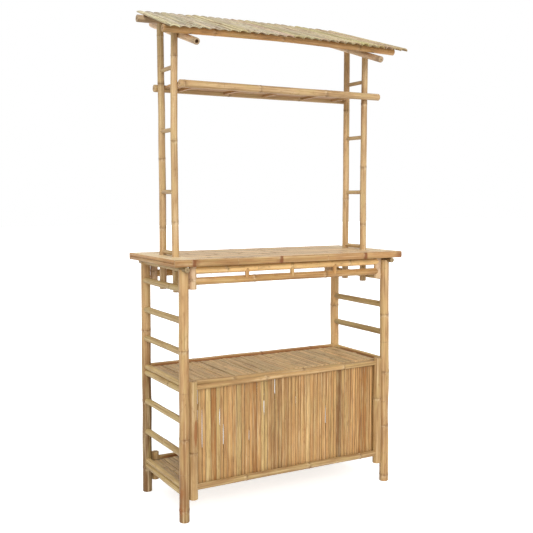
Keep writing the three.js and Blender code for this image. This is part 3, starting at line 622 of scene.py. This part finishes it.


# Each leg's nodes as shares of its height, its lightness from the foot up, how many mm its foot and its top
# lie to the right, and its stained spots. The rear left leg's dark lower part is painted shade, and the rear
# right leg is painted lighter all along, as painted light where the counter shades it.
LEGS = {
    "front_left": ((0.0475, 0.3335, 0.682), (0.33, 0.68, 0.84, 0.94, 1.0), (-1, 4),
                   ((0.12, 0.6, 0.03, 0.7), (0.05, 0.2, 0.02, 1.4))),
    "rear_left": ((0.1055, 0.4, 0.707), (0.2, 0.24, 0.37, 0.97, 1.02), (0, 4), ()),
    "front_right": ((0.028, 0.257, 0.5, 0.756), (0.9, 0.92, 0.97, 1.02, 1.02), (3.5, -8), ()),
    "rear_right": ((0.2, 0.47, 0.752), (1.35, 1.4), (0, 0), ()),
}


class TIKI_OT_legs(BuildOperator, bpy.types.Operator):
    """Builds the four legs"""
    bl_idname = "tiki_bar.legs"
    bl_label = "Legs"

    def build(self, scene):
        poles = scene.tiki_poles
        dark_warmth = 0.3
        for seed, (place, (rings, levels, (foot, top), stains)) in enumerate(LEGS.items()):
            tints = [tone(poles.leg, level, max(0, dark_warmth * (1 - level))) for level in levels]
            pole(Form(100 + seed), f"leg_{place}", "z", tints, rings, poles.node_swelling,
                 start_by=(foot * MM, 0, 0), end_by=(top * MM, 0, 0), ends=(SAWN, JOINT), sides=32,
                 stains=stains, wobble=1.5 * MM)


class TIKI_OT_side_rungs(BuildOperator, bpy.types.Operator):
    """Builds the rungs between the legs and the short rails under the counter's ends"""
    bl_idname = "tiki_bar.side_rungs"
    bl_label = "Side rungs"

    def build(self, scene):
        poles = scene.tiki_poles
        for side, sign in SIDES:
            for number in range(1, 8):
                form = Form(200 + 10 * sign + number)
                level = form.chance.uniform(0.9, 1.05) * (1.15 if sign > 0 else 1.0)
                rings = [form.chance.uniform(0.25, 0.75)] if form.chance.random() < 0.6 else []
                pole(form, f"side_rung_{side}_{number}", "y", tones(poles.rung, level, warmth=-0.02), rings,
                     swelling=0.9 * MM, longer=poles.joint_depth, full=True, slot="bamboo_rung")
            # The front end of this rail is painted dark, as painted shade under the counter.
            pole(Form(230 + sign), f"side_top_rail_{side}", "y", tones(poles.rung, 0.36, 0.9, *[0.95] * 3),
                 slot="bamboo_rung", ends=(SAWN, SAWN))


class TIKI_OT_counter(BuildOperator, bpy.types.Operator):
    """Builds the counter's strips, end boards and edges"""
    bl_idname = "tiki_bar.counter"
    bl_label = "Counter"

    def build(self, scene):
        self.deck(scene.tiki_counter)
        for seed, (side, sign) in enumerate(SIDES):
            self.end_board(scene.tiki_counter, Form(310 + seed), side, sign)
        for seed, (depth, sign) in enumerate(DEPTHS):
            self.edge(scene.tiki_counter, Form(320 + seed), depth, sign)

    def deck(self, counter):
        form = Form(300)
        chance = form.chance
        low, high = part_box("counter_deck")
        bed = high.z - counter.strip_thickness
        width = (high.y - low.y) / counter.strip_count
        for i in range(counter.strip_count):
            y = low.y + (i + 0.5) * width
            base = 0.8 if i % 2 else 1.02
            tints = [tone(counter.board, base * chance.uniform(0.84, 1.1), chance.uniform(-0.01, 0.06))
                     for _ in range(5)]
            rings = sorted(chance.uniform(0.04, 0.86) for _ in range(3))
            strip(form, (low.x, y, bed), (high.x, y, bed), UPWARD, width - counter.joint,
                  counter.strip_thickness, crown=0.3 * MM, tints=tints, rings=rings, swelling=0.02 * MM,
                  step=0.08, rim=(0.93, 0.6), stains=ring_stains(rings, reach=6 * MM, width=2.0))
        bearer, inside = 40 * MM, 4 * MM
        for x in (low.x + bearer / 2, (low.x + high.x) / 2, high.x - bearer / 2):
            strip(form, (x, low.y + inside, low.z), (x, high.y - inside, low.z), UPWARD, bearer, bed - low.z,
                  crown=0.2 * MM, tints=tones(counter.board, 0.8))
        form.built("counter_deck", "counter_board")

    def end_board(self, counter, form, side, sign):
        """Two layers, with the holes that the upper posts pass through."""
        node = f"counter_end_board_{side}"
        low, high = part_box(node)
        post_low, post_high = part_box(f"upper_ladder_{side}")
        clearance, half_gap = 1.6 * MM, 0.3 * MM
        radius = (post_high.y - post_low.y) / 2 - POST_Y + clearance
        outline = round_corners(low.x, high.x, low.y, high.y, radius=3 * MM)
        turn = [-math.tau * i / 28 for i in range(28)]
        holes = [[(sign * POST_X + radius * math.cos(angle), depth * POST_Y + radius * math.sin(angle))
                  for angle in turn] for _, depth in DEPTHS]
        middle = (low.z + high.z) / 2
        for bottom, top, level in ((low.z, middle - half_gap, 0.86), (middle + half_gap, high.z, 1.0)):
            top_tints = tones(counter.board, level * (1.16 if sign < 0 else 1.08), warmth=-0.09)
            form.stick((0, low.y, middle), (0, high.y, middle), UPWARD, top_tints)
            board(form, outline, holes, bottom, top, counter.bevel, tones(counter.end_edge, level))
        form.built(node, "counter_board", cut="bamboo_edge")

    def edge(self, counter, form, depth, sign):
        node = f"counter_{depth}_edge"
        low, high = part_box(node)
        inner = high.y if sign < 0 else low.y
        z = (low.z + high.z) / 2
        ends = [(low.x, inner, z), (high.x, inner, z)]
        if sign < 0:
            rings = [place - low.x for place in (-0.469, -0.074, 0.354)]
            stains = ring_stains([*rings * 3, high.x - low.x], reach=6 * MM, width=3.0)
        else:
            ends.reverse()
            rings = [high.x - place for place in (0.42, 0.1, -0.3)]
            stains = ring_stains(rings, reach=12 * MM, width=3.0)
        node_room = 0.4 * MM
        strip(form, *ends, (0, sign, 0), high.z - low.z, high.y - low.y - node_room, crown=2 * MM,
              tints=tones(counter.edge, 0.9, 0.84, 0.98, 1.06, 1.06), rings=rings, swelling=0.3 * MM,
              stains=stains)
        form.built(node, "bamboo_edge")


def round_corners(left, right, front, rear, radius, steps=4):
    """The outline of a board with rounded corners, anticlockwise."""
    points = []
    for (x, y), begin in (((right - radius, rear - radius), 0), ((left + radius, rear - radius), 90),
                          ((left + radius, front + radius), 180), ((right - radius, front + radius), 270)):
        for i in range(steps + 1):
            angle = math.radians(begin + 90 * i / steps)
            points.append((x + radius * math.cos(angle), y + radius * math.sin(angle)))
    return points


def inset(loop, by):
    """A loop moved inward, or outward round a hole, by that much."""
    moved = []
    for i, (x, y) in enumerate(loop):
        before, after = Vector(loop[i - 1]), Vector(loop[(i + 1) % len(loop)])
        tangent = (after - before).normalized()
        moved.append((x - tangent.y * by, y + tangent.x * by))
    return moved


def board(form, outline, holes, low, high, bevel, side_tints):
    """A flat board with bevelled rims and round holes. The stick that it belongs to is already set."""
    def lay(loop, height):
        """Points of a level loop, given in the frame's own X and Y."""
        offsets = [Vector((x, y, height)) - form.origin for x, y in loop]
        return [form.add(out.dot(form.across), out.dot(form.up), out.dot(form.along)) for out in offsets]

    top_tints = form.tints
    rims = [outline, *holes]
    inner = [inset(rim, bevel) for rim in rims]
    turned = []
    for face_height, rim_height, upper in ((high, high - bevel, True), (low, low + bevel, False)):
        form.tints = top_tints
        flat = [lay(rim, face_height) for rim in inner]
        form.tints = side_tints
        lip = [lay(rim, face_height) for rim in inner]
        turned.append([lay(rim, rim_height) for rim in rims])
        for small, large in zip(lip, turned[-1]):
            form.skin(*((large, small) if upper else (small, large)), CUT)
        indices = [i for rim in flat for i in rim]
        for triangle in tessellate_polygon([[Vector((x, y, 0)) for x, y in rim] for rim in inner]):
            corners = [indices[i] for i in triangle]
            first, second, third = (form.points[i] for i in corners)
            facing_up = (second - first).cross(third - first).z > 0
            form.face(corners if facing_up == upper else corners[::-1], SKIN)
    for above, below in zip(*turned):
        form.skin(below, above, CUT)


class TIKI_OT_aprons(BuildOperator, bpy.types.Operator):
    """Builds the stubs, rails and spacers under the counter's long edges"""
    bl_idname = "tiki_bar.aprons"
    bl_label = "Aprons"

    def build(self, scene):
        poles = scene.tiki_poles
        for depth, depth_sign in DEPTHS:
            for side, sign in SIDES:
                self.stub(poles, Form(400 + 3 * sign + depth_sign), f"apron_stub_{depth}_{side}", sign)
            self.lattice(poles, Form(420 + depth_sign), f"apron_lattice_{depth}", depth_sign)

    def stub(self, poles, form, node, sign):
        low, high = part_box(node)
        radius = (high.y - low.y) / 2
        x = (low.x if sign > 0 else high.x) + sign * radius
        if node == "apron_stub_front_right":
            x -= 4 * MM  # the photo shows this one a little further left
        y = (low.y + high.y) / 2
        culm(form, (x, y, low.z), (x, y, high.z), radius, tones(poles.stub, 1.0, warmth=0.01),
             rings=[(high.z - low.z) * 0.45], swelling=0.8 * MM, ends=(SAWN, JOINT), up=FORWARD, step=0.02)
        peg_radius, from_end = 4 * MM, 18 * MM
        for z in (low.z + from_end, high.z - from_end):
            culm(form, (x, y, z), (PEG_END * sign, y, z), peg_radius, tones(poles.cut, 0.95), sides=12,
                 wobble=0)
        form.built(node, "bamboo_pole")

    def lattice(self, poles, form, node, depth_sign):
        low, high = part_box(node)
        radius = LEG_Y - min(abs(low.y), abs(high.y))
        y = LEG_Y * depth_sign
        bottom, top = low.z + radius, high.z - radius
        # The upper rail is painted much lighter, as painted light where the counter's overhang shades it.
        for z, ring_shares, tint in ((top, (0.16, 0.5, 0.83), tone(poles.apron, 2.25, -0.13)),
                                     (bottom, (0.3, 0.69), tone(poles.apron, 1.0, 0.03))):
            culm(form, (-high.x, y, z), (high.x, y, z), radius, tones(tint, 0.96, 1.03),
                 rings=[2 * high.x * share for share in ring_shares], swelling=0.9 * MM)
        spacer_set_out = 7 * MM
        spacer_y = y + spacer_set_out * depth_sign
        spacer_radius = max(abs(low.y), abs(high.y)) - abs(spacer_y)
        for x in (-0.216, 0, 0.216):
            culm(form, (x, spacer_y, bottom), (x, spacer_y, top), spacer_radius, tones(poles.apron, 1.15),
                 sides=18, wobble=0, up=FORWARD)
        form.built(node, "bamboo_edge", "bamboo_pole")


# Where light comes through the front: X, the middle of the opening above the slat's foot and half its height.
LIGHT_GAPS = ((-0.426, 0.24, 0.1), (-0.413, 0.385, 0.025), (-0.336, 0.28, 0.036), (-0.328, 0.195, 0.05),
              (-0.205, 0.175, 0.03), (-0.132, 0.3, 0.042), (-0.079, 0.37, 0.05), (0.174, 0.2, 0.075),
              (0.189, 0.388, 0.025))
# Slats that stand out in the front: X, the colour and its lightness.
ACCENTS = ((-0.39, "mat_yellow", 1.04), (-0.343, "mat_yellow", 0.93), (-0.325, "mat_orange", 0.97),
           (-0.369, "mat_brown", 1.0), (0.093, "mat_pale", 1.12), (0.247, "mat_brown", 0.62),
           (0.255, "mat_brown", 0.62), (0.264, "mat_brown", 0.62))


class TIKI_OT_front_panel(BuildOperator, bpy.types.Operator):
    """Builds the slatted front with its posts and rails"""
    bl_idname = "tiki_bar.front_panel"
    bl_label = "Slatted front"

    def build(self, scene):
        poles = scene.tiki_poles
        swelling = poles.node_swelling
        for side, rings, stains, foot, top, level in (
            ("left", (0.4,), ((0.28, 1.85, 0.04, 0.4),) * 3, -1, -2, 0.9),
            ("right", (0.62,), (), 3, 4, 0.97),
        ):
            pole(Form(500 + len(side)), f"panel_post_{side}", "z", tones(poles.panel, level, level * 1.04),
                 rings, swelling, start_by=(0, 0, foot * MM), end_by=(0, 0, top * MM), ends=(SAWN, SAWN),
                 stains=stains, sides=28)
        for node, seed, rings, tilt, level in (
            ("panel_top_rail", 510, (0.37, 0.8), 6, 1.1),
            ("panel_bottom_rail", 511, (0.26, 0.6, 0.9), 0, 0.82),
        ):
            pole(Form(seed), node, "x", tones(poles.panel, level * 0.97, level * 1.03), rings, swelling,
                 poles.joint_depth, (0, 0, -tilt * MM), (0, 0, tilt * MM))
        self.mat(scene.tiki_slats)

    def mat(self, slats):
        """Narrow slats edge to edge. Their tones drift across the front, with a few that stand out."""
        form = Form(520)
        low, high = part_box("panel_slat_mat")
        chance = form.chance
        thickest, behind_post, post_clearance = 5 * MM, 0.449, 5.5 * MM
        left = low.x
        while left < high.x - slats.mat_narrow:
            share = (left - low.x) / (high.x - low.x)
            width = chance.uniform(slats.mat_narrow, slats.mat_wide) * (1.35 - 0.55 * share)
            if high.x - left - width < slats.mat_narrow:
                width = high.x - left
            x = left + width / 2
            slit = next(((height, reach, slats.light_gap) for place, height, reach in LIGHT_GAPS
                         if 0 <= place - left < width), None)
            left += width
            drift = 0.5 + 0.9 * noise.noise((x * 14, 3, 0)) + chance.uniform(-0.25, 0.25)
            base = slats.mat_orange if drift < (0.82 if x < 0 else 1.0) else slats.mat_yellow
            if drift < 0.08:
                base = slats.mat_brown
            # Painted shade darkens the slats just left of the middle, and painted light brightens the right
            # half.
            level = chance.uniform(0.88, 1.07) * (0.82 if -0.1 < x < 0 else 1.0 if x < 0 else 1.08)
            for place, colour, brightness in ACCENTS:
                if abs(place - x) < width / 2:
                    base, level = getattr(slats, colour), brightness
            tint = tone(base, level, chance.uniform(-0.02, 0.04))
            lean = chance.uniform(-0.5, 0.5) * MM
            top = high.z - chance.uniform(0, 1.5) * MM
            thickness = thickest - chance.uniform(0, 1.2) * MM
            back = low.y + thickest + (post_clearance if abs(x) + width / 2 > behind_post else 0)
            strip(form, (x - lean, back, low.z + chance.uniform(0, 3) * MM), (x + lean, back, top), FORWARD,
                  width - slats.mat_gap, thickness, crown=chance.uniform(0.8, 1.8) * MM,
                  tints=tones(tint, *[chance.uniform(0.86, 1.06) for _ in range(3)]), edge=0.6 * MM,
                  waver=0.8 * MM, step=0.02, rim=(0.84, chance.uniform(0.3, 0.75)), slit=slit)
        inside, bed = 12 * MM, low.y + thickest
        for share in (0.22, 0.8):
            z = low.z + share * (high.z - low.z)
            strip(form, (high.x - inside, bed, z), (low.x + inside, bed, z), (0, 1, 0), width=24 * MM,
                  thickness=6 * MM, crown=1 * MM, tints=tones(slats.mat_orange, 0.9))
        form.built("panel_slat_mat", "bamboo_slat")


class TIKI_OT_shelves(BuildOperator, bpy.types.Operator):
    """Builds the middle and the bottom shelf"""
    bl_idname = "tiki_bar.shelves"
    bl_label = "Lower shelves"

    def build(self, scene):
        poles = scene.tiki_poles
        for index, (name, level) in enumerate((("middle_shelf", 1.0), ("bottom_shelf", 0.82))):
            for side, sign in SIDES:
                # Each side rail gets painted shadows on the side where it lies against the slats.
                pole(Form(600 + 10 * index + sign), f"{name}_side_rail_{side}", "y",
                     tones(poles.rung, 1.5 if sign > 0 else 1.0), longer=poles.joint_depth,
                     shadow_side=8 if sign > 0 else 172, slot="bamboo_rung")
            self.deck(scene.tiki_slats, Form(620 + index), f"{name}_deck", level)
        # The last column is the angle of the side where painted shadows go, if any.
        for node, seed, tilt, level, shadow_side in (
            ("middle_shelf_front_rail", 630, -4, 0.94, None),
            ("middle_shelf_rear_rail", 631, 0, 0.97, 172),
            ("bottom_shelf_rear_rail", 632, 0, 0.9, 172),
        ):
            pole(Form(seed), node, "x", tones(poles.panel, level), (0.22, 0.58, 0.86), poles.node_swelling,
                 poles.joint_depth, (0, 0, -tilt * MM), (0, 0, tilt * MM), shadow_side=shadow_side)
        for side, sign in SIDES:
            pole(Form(640 + sign), f"bottom_shelf_rear_stub_{side}", "z", tones(poles.panel, 0.85, 0.95),
                 ends=(SAWN, SAWN))

    def deck(self, slats, form, node, level):
        low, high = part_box(node)
        chance = form.chance
        left, right = low.x + 2.5 * MM, high.x - 14 * MM
        pitch = (right - left) / slats.deck_count
        thickness = 6 * MM
        for i in range(slats.deck_count):
            x = left + (i + 0.5) * pitch
            tint = tone(slats.deck, level * chance.uniform(0.8, 1.1), chance.uniform(-0.02, 0.07))
            rear = high.y - chance.uniform(8, 22) * MM
            bottom = high.z - thickness - chance.uniform(2.5, 4.8) * MM
            rings = [chance.uniform(0.05, 0.3)] if chance.random() < 0.5 else []
            strip(form, (x, low.y, bottom), (x + chance.uniform(-1, 1) * MM, rear, bottom), UPWARD,
                  pitch - slats.deck_gap * chance.uniform(0.6, 1.3), thickness, crown=1.4 * MM,
                  tints=tones(tint, chance.uniform(0.88, 1.06), 1.0), rings=rings, swelling=0.25 * MM,
                  waver=0.5 * MM)
        batten = 22 * MM
        places = (low.y + batten / 2, (low.y + high.y) / 2, high.y - batten / 2)
        # The rear batten is painted dark, as the shade that shows between the slats' ends and the rear rail.
        for y, lightness in zip(places, (0.8, 0.8, 0.25)):
            strip(form, (low.x, y, low.z), (high.x, y, low.z), UPWARD, batten, thickness=12 * MM,
                  crown=0.2 * MM, tints=tones(slats.deck, lightness))
        form.built(node, "shelf_slat")


# Each upper post's nodes as shares of its height, its lightness from the foot up, and how many mm its top
# lies and its middle bows to the right. The rear right post is painted lighter all along, as painted light
# where the roof shades it.
UPPER_POSTS = {
    "front_left": ((0.274, 0.586, 0.907), (0.96, 0.96, 0.88), 0, -5.5),
    "rear_left": ((0.235, 0.497, 0.779, 0.955), (0.96, 0.96, 0.74), -2, 2),
    "front_right": ((0.25, 0.5, 0.773), (0.96, 0.96, 0.88), 0, -2.5),
    "rear_right": ((0.343, 0.719), (1.1, 1.1, 1.1), 0, 0),
}
FRONT_POST_TOP = 1.9676


class TIKI_OT_upper_ladders(BuildOperator, bpy.types.Operator):
    """Builds the posts above the counter with their rungs"""
    bl_idname = "tiki_bar.upper_ladders"
    bl_label = "Upper posts"

    def build(self, scene):
        poles = scene.tiki_poles
        counter_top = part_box("counter_deck")[1].z
        peg_radius, peg_lift = 3 * MM, 27 * MM
        rung_radius, rung_end = 8.8 * MM, POST_Y - 4 * MM
        for side, sign in SIDES:
            node = f"upper_ladder_{side}"
            form = Form(700 + sign)
            low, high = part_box(node)
            radius = (high.y - low.y) / 2 - POST_Y - poles.upper_node_swelling + poles.post_excess
            x, peg_z = POST_X * sign, low.z + peg_lift
            for depth, depth_sign in DEPTHS:
                y = depth_sign * POST_Y
                rings, levels, sway, bow = UPPER_POSTS[f"{depth}_{side}"]
                top = FRONT_POST_TOP if depth == "front" else high.z
                culm(form, (x, y, low.z), (x + sway * MM, y, top), radius, tones(poles.upper, *levels),
                     [(top - low.z) * share for share in rings], poles.upper_node_swelling, (SAWN, SAWN),
                     (bow * MM, 0, 0), FORWARD, taper=0.07)
                culm(form, (x, y, peg_z), (PEG_END * sign, y, peg_z), peg_radius, tones(poles.cut, 0.9),
                     sides=12, wobble=0)
            for share in (0.014, 0.276, 0.539, 0.8):
                z = counter_top + share * (high.z - counter_top)
                culm(form, (x, -rung_end, z), (x, rung_end, z), rung_radius,
                     tones(poles.upper, 0.82 if sign < 0 else 1.0, warmth=-0.02), sides=20, wobble=0.3 * MM)
            form.built(node, "bamboo_pole")


class TIKI_OT_upper_shelf(BuildOperator, bpy.types.Operator):
    """Builds the high shelf"""
    bl_idname = "tiki_bar.upper_shelf"
    bl_label = "Upper shelf"

    def build(self, scene):
        poles, slats = scene.tiki_poles, scene.tiki_slats
        for node, rings, level, seed in (
            ("upper_shelf_front_rail", (0.02, 0.372, 0.708), 1.0, 800),
            ("upper_shelf_rear_rail", (0.353, 0.72), 0.9, 801),
        ):
            pole(Form(seed), node, "x", tones(poles.upper, level), rings, poles.upper_node_swelling,
                 ends=(SAWN, SAWN))
        form = Form(802)
        low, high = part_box("upper_shelf_deck")
        half = high.y - 2 * MM
        count, thickness, gap = 4, 9 * MM, 1.5 * MM
        width = 2 * half / count
        for i in range(count):
            y, z = -half + (i + 0.5) * width, high.z - thickness
            tint = tone(slats.upper_deck, form.chance.uniform(0.78, 0.88), 0.02)
            strip(form, (low.x, y, z), (high.x, y, z), UPWARD, width - gap, thickness, crown=1.5 * MM,
                  tints=tones(tint, 1.0), rings=sorted(form.chance.uniform(0.1, 0.8) for _ in range(2)))
        for share in (-0.83, -0.36, 0.07, 0.52, 0.88):
            x = share * high.x
            strip(form, (x, -half, low.z), (x, half, low.z), UPWARD, 17 * MM, thickness, crown=0.3 * MM,
                  tints=tones(slats.upper_deck, 0.8, warmth=0.03))
        form.built("upper_shelf_deck", "shelf_slat")


ROOF_HEIGHT = 1.977  # of the rafters' middle line, above the posts' middle


def roof_point(roof, x, slope, lift=0.0):
    """A place on the roof, given up the slope from above the posts' middle and square to the roof."""
    rise, run = math.sin(roof.pitch), math.cos(roof.pitch)
    return Vector((x, slope * run - lift * rise, ROOF_HEIGHT + slope * rise + lift * run))


class TIKI_OT_roof_frame(BuildOperator, bpy.types.Operator):
    """Builds the rafters and the purlins"""
    bl_idname = "tiki_bar.roof_frame"
    bl_label = "Roof frame"

    def build(self, scene):
        poles, roof = scene.tiki_poles, scene.tiki_roof
        low_end, high_end, rafter_radius = -0.238, 0.246, 13.5 * MM
        purlin_radius, purlin_lift = 15 * MM, 28.8 * MM
        rings = [(high_end - low_end) * share for share in (0.5, 0.9)]
        # The rafters take a paler colour than their skin, as painted light under the roof, and are darker at
        # their lower front ends.
        for side, sign in SIDES:
            node = f"rafter_{side}"
            form = Form(900 + sign)
            low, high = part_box(node)
            x = (low.x + high.x) / 2
            culm(form, roof_point(roof, x, low_end), roof_point(roof, x, high_end), rafter_radius,
                 tones(poles.stub, 0.5, 1.25, *[1.4] * 10), rings, poles.upper_node_swelling,
                 (HOLLOW if sign < 0 else SAWN, SAWN))
            form.built(node, "bamboo_pole")
        # The rear purlin takes a paler colour than its skin, as painted light under the roof. Both purlins
        # are darker at their left ends; on the front purlin that is painted shade.
        for depth, slope, bow, tints, seed in (
            ("front", -0.161, roof.sag, tones(poles.purlin, 0.5, 1.1, 1.15, 1.1, 1.04, *[1.0] * 6), 910),
            ("rear", 0.125, roof.rear_bow * 0.7, tones(poles.stub, 0.5, 0.9, *[1.35] * 10), 911),
        ):
            node = f"purlin_{depth}"
            form = Form(seed)
            low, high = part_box(node)
            ends = [roof_point(roof, x, slope, purlin_lift) for x in (low.x, high.x)]
            rings = [(high.x - low.x) * share for share in (0.2, 0.484, 0.83)]
            culm(form, *ends, purlin_radius, tints, rings, poles.upper_node_swelling, (SAWN, SAWN),
                 (0, 0, bow))
            form.built(node, "bamboo_edge", "bamboo_pole")


class TIKI_OT_roof_slats(BuildOperator, bpy.types.Operator):
    """Builds the roof's half-round slats"""
    bl_idname = "tiki_bar.roof_slats"
    bl_label = "Roof slats"

    def build(self, scene):
        roof = scene.tiki_roof
        form = Form(950)
        chance = form.chance
        low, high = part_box("roof_slats")
        base, arc, foot = 44.1 * MM, 10, 2 * MM
        slope_front, slope_rear = -0.237, 0.292
        half_roof, lip, dark_end_reach = 0.557, 4 * MM, 14 * MM
        out = (0, -math.sin(roof.pitch), math.cos(roof.pitch))
        # Painted shade along both edges of each slat, where it meets the next.
        shades = [0.26, 0.5, 0.9] + [1.0] * (arc - 5) + [0.9, 0.5, 0.26]

        def across_roof(share, up):
            """X at a share of the roof's width, at a share of the way up the slope."""
            left = low.x + roof.left_narrowing * up
            right = high.x - roof.right_narrowing * up
            return left + (right - left) * share

        for i in range(roof.slat_count):
            share = (i + 0.5) / roof.slat_count
            front = slope_front + chance.uniform(1, 8) * MM
            rear = slope_rear - chance.uniform(4, 22) * MM - 55 * MM * max(0, 1 - share / 0.4)
            reach_up = (rear - slope_front) / (slope_rear - slope_front)
            mixed = [a + (b - a) * min(1, max(0, share * 0.9 + chance.uniform(-0.35, 0.35)))
                     for a, b in zip(roof.pale, roof.tan)]
            # The leftmost slat is painted lighter, as a painted highlight along the roof's left edge.
            tint = tone(mixed, 1.3 if i == 0 else chance.uniform(0.8, 1.12))
            rings = sorted({round(chance.uniform(0.03, 0.24), 3), round(chance.uniform(0.27, 0.5), 3)})
            form.stick(roof_point(roof, across_roof(share, 0), front, base),
                       roof_point(roof, across_roof(share, reach_up), rear, base), out,
                       tones(tint, 1.0, 0.97), rings)
            rise = roof.low_rise + (roof.high_rise - roof.low_rise) * share - chance.uniform(0, 2.4) * MM
            arch = 1 - min(1, abs(across_roof(share, 0)) / half_roof) ** 2
            key = chance.uniform(0, 99)
            snug = chance.uniform(0.975, 1.0)
            widths = [(across_roof(1, up) - across_roof(0, up)) / roof.slat_count * snug for up in (0, 1)]

            def row(along):
                """The section of a half round and the shades of its points, mostly painted shade, skin first
                and hollow after.
                """
                up = along / form.length
                outer = (widths[0] + (widths[1] - widths[0]) * up) / 2
                near = 0.45 * MM * node_profile(form.knot_at(along))
                lift = arch * (roof.sag * (1 - up) + roof.rear_bow * up)
                sway = 0.8 * MM * noise.noise((key, along * 5, 0))
                inner, inner_rise = outer - roof.slat_wall, rise - roof.slat_wall
                top, under = [], []
                for k in range(arc + 1):
                    across, high_up = math.cos(math.pi * k / arc), math.sin(math.pi * k / arc)
                    top.append((sway + (outer + near) * across, lift + foot + (rise - foot + near) * high_up))
                    under.append((sway + inner * across, lift + inner_rise * high_up))
                # Lighter at the front lip, and darker near the rear end of two slats in three.
                end_level = 1.06 if along < lip else 0.5 if i % 3 and form.length - along < dark_end_reach else 1.0
                # The hollow underside is painted darker, as shade under the roof, and lighter at the front
                # lip.
                hollow = 1.25 if along < lip else 0.6
                return top + under[::-1], along, [shade * end_level for shade in shades] + [hollow] * (arc + 1)

            ends = form.loft((row(along) for along in stations(form.length, rings, 0.04)), upper=arc)
            for loop, far in zip(ends, (False, True)):
                for a in range(arc):
                    corners = (loop[a], loop[a + 1], loop[-2 - a], loop[-1 - a])
                    form.face(corners if far else corners[::-1], CUT)
        form.built("roof_slats", "roof_slat", cut="roof_cut")


class TIKI_OT_stage(BuildOperator, bpy.types.Operator):
    """Sets the floor, the light and the camera"""
    bl_idname = "tiki_bar.stage"
    bl_label = "Stage"

    def direct_view(self, paper):
        """1 for what the camera sees, in a reflection or through glass too, and 0 for light thrown about."""
        seen = paper.node("ShaderNodeLightPath", output="Is Camera Ray")
        mirrored, through = (Shade(paper.tree, seen.socket.node.outputs[ray])
                             for ray in ("Is Glossy Ray", "Is Transmission Ray"))
        return paper.sum("ADD", seen + mirrored, through, clamp=True)

    def build(self, scene):
        stage = scene.tiki_stage
        self.floor(scene, stage)
        for name, strength, spread, turn in (
            ("key lamp", stage.key, 36, (66, 0, -14)),
            ("fill lamp", stage.fill, 60, (66, 0, -80)),
            ("top lamp", stage.top, 80, (4, 0, 0)),
        ):
            data = bpy.data.lights.new(name, "SUN")
            data.energy = strength
            data.angle = math.radians(spread)
            lamp = self.placed(scene, name, data)
            lamp.rotation_euler = [math.radians(angle) for angle in turn]
        scene.world = bpy.data.worlds.new("sky")
        scene.world.use_nodes = True
        tree = scene.world.node_tree
        background = tree.nodes["Background"]
        background.inputs["Color"].default_value = (1, 1, 1, 1)
        wire(self.direct_view(Shade(tree)) * (1 - stage.sky) + stage.sky, background, "Strength")
        data = bpy.data.cameras.new("camera")
        data.lens = stage.camera_lens
        data.sensor_width = 36
        scene.camera = self.placed(scene, "camera", data)
        scene.camera.location = stage.camera_place
        scene.camera.rotation_euler = stage.camera_turn
        scene.view_settings.view_transform = "Standard"

    def placed(self, scene, name, data):
        made = bpy.data.objects.new(name, data)
        scene.collection.objects.link(made)
        return made

    def floor(self, scene, stage):
        material, paper, shader = new_finish("floor", roughness=0.9)
        direct = self.direct_view(paper)
        wire(paper.blend(direct, tuple(stage.bounce), tuple(stage.floor)), shader, "Base Color")
        wire(paper.blend(direct, (0, 0, 0), (stage.glow,) * 3), shader, "Emission Color")
        shader.inputs["Emission Strength"].default_value = 1.0
        shader.inputs["Specular IOR Level"].default_value = 0.0
        reach = 30.0
        mesh = bpy.data.meshes.new("floor")
        mesh.from_pydata([(-reach, -reach, 0), (reach, -reach, 0), (reach, reach, 0), (-reach, reach, 0)], [],
                         [(0, 1, 2, 3)])
        mesh.materials.append(material)
        self.placed(scene, "floor", mesh)


OPERATORS = (
    TIKI_OT_legs, TIKI_OT_side_rungs, TIKI_OT_counter, TIKI_OT_aprons, TIKI_OT_front_panel, TIKI_OT_shelves,
    TIKI_OT_upper_ladders, TIKI_OT_upper_shelf, TIKI_OT_roof_frame, TIKI_OT_roof_slats, TIKI_OT_stage,
)
SETTINGS = {
    "tiki_poles": TikiPoleSettings,
    "tiki_slats": TikiSlatSettings,
    "tiki_counter": TikiCounterSettings,
    "tiki_roof": TikiRoofSettings,
    "tiki_stage": TikiStageSettings,
}


class TIKI_PT_panel(bpy.types.Panel):
    """Lists the tiki bar's operators and settings"""
    bl_idname = "TIKI_PT_panel"
    bl_label = "Tiki bar"
    bl_space_type = "VIEW_3D"
    bl_region_type = "UI"
    bl_category = "Tiki bar"

    def draw(self, context):
        for operator in OPERATORS:
            self.layout.operator(operator.bl_idname)
        for name, group in SETTINGS.items():
            box = self.layout.box()
            box.label(text=group.__doc__)
            for field in group.__annotations__:
                box.prop(getattr(context.scene, name), field)


def register():
    for name, group in SETTINGS.items():
        bpy.utils.register_class(group)
        setattr(bpy.types.Scene, name, bpy.props.PointerProperty(type=group))
    for operator in OPERATORS:
        bpy.utils.register_class(operator)
    bpy.utils.register_class(TIKI_PT_panel)


def unregister():
    bpy.utils.unregister_class(TIKI_PT_panel)
    for operator in reversed(OPERATORS):
        bpy.utils.unregister_class(operator)
    for name, group in SETTINGS.items():
        delattr(bpy.types.Scene, name)
        bpy.utils.unregister_class(group)


def main():
    register()
    bpy.ops.tiki_bar.legs()
    bpy.ops.tiki_bar.side_rungs()
    bpy.ops.tiki_bar.counter()
    bpy.ops.tiki_bar.aprons()
    bpy.ops.tiki_bar.front_panel()
    bpy.ops.tiki_bar.shelves()
    bpy.ops.tiki_bar.upper_ladders()
    bpy.ops.tiki_bar.upper_shelf()
    bpy.ops.tiki_bar.roof_frame()
    bpy.ops.tiki_bar.roof_slats()
    bpy.ops.tiki_bar.stage()


if __name__ == "__main__":
    main()
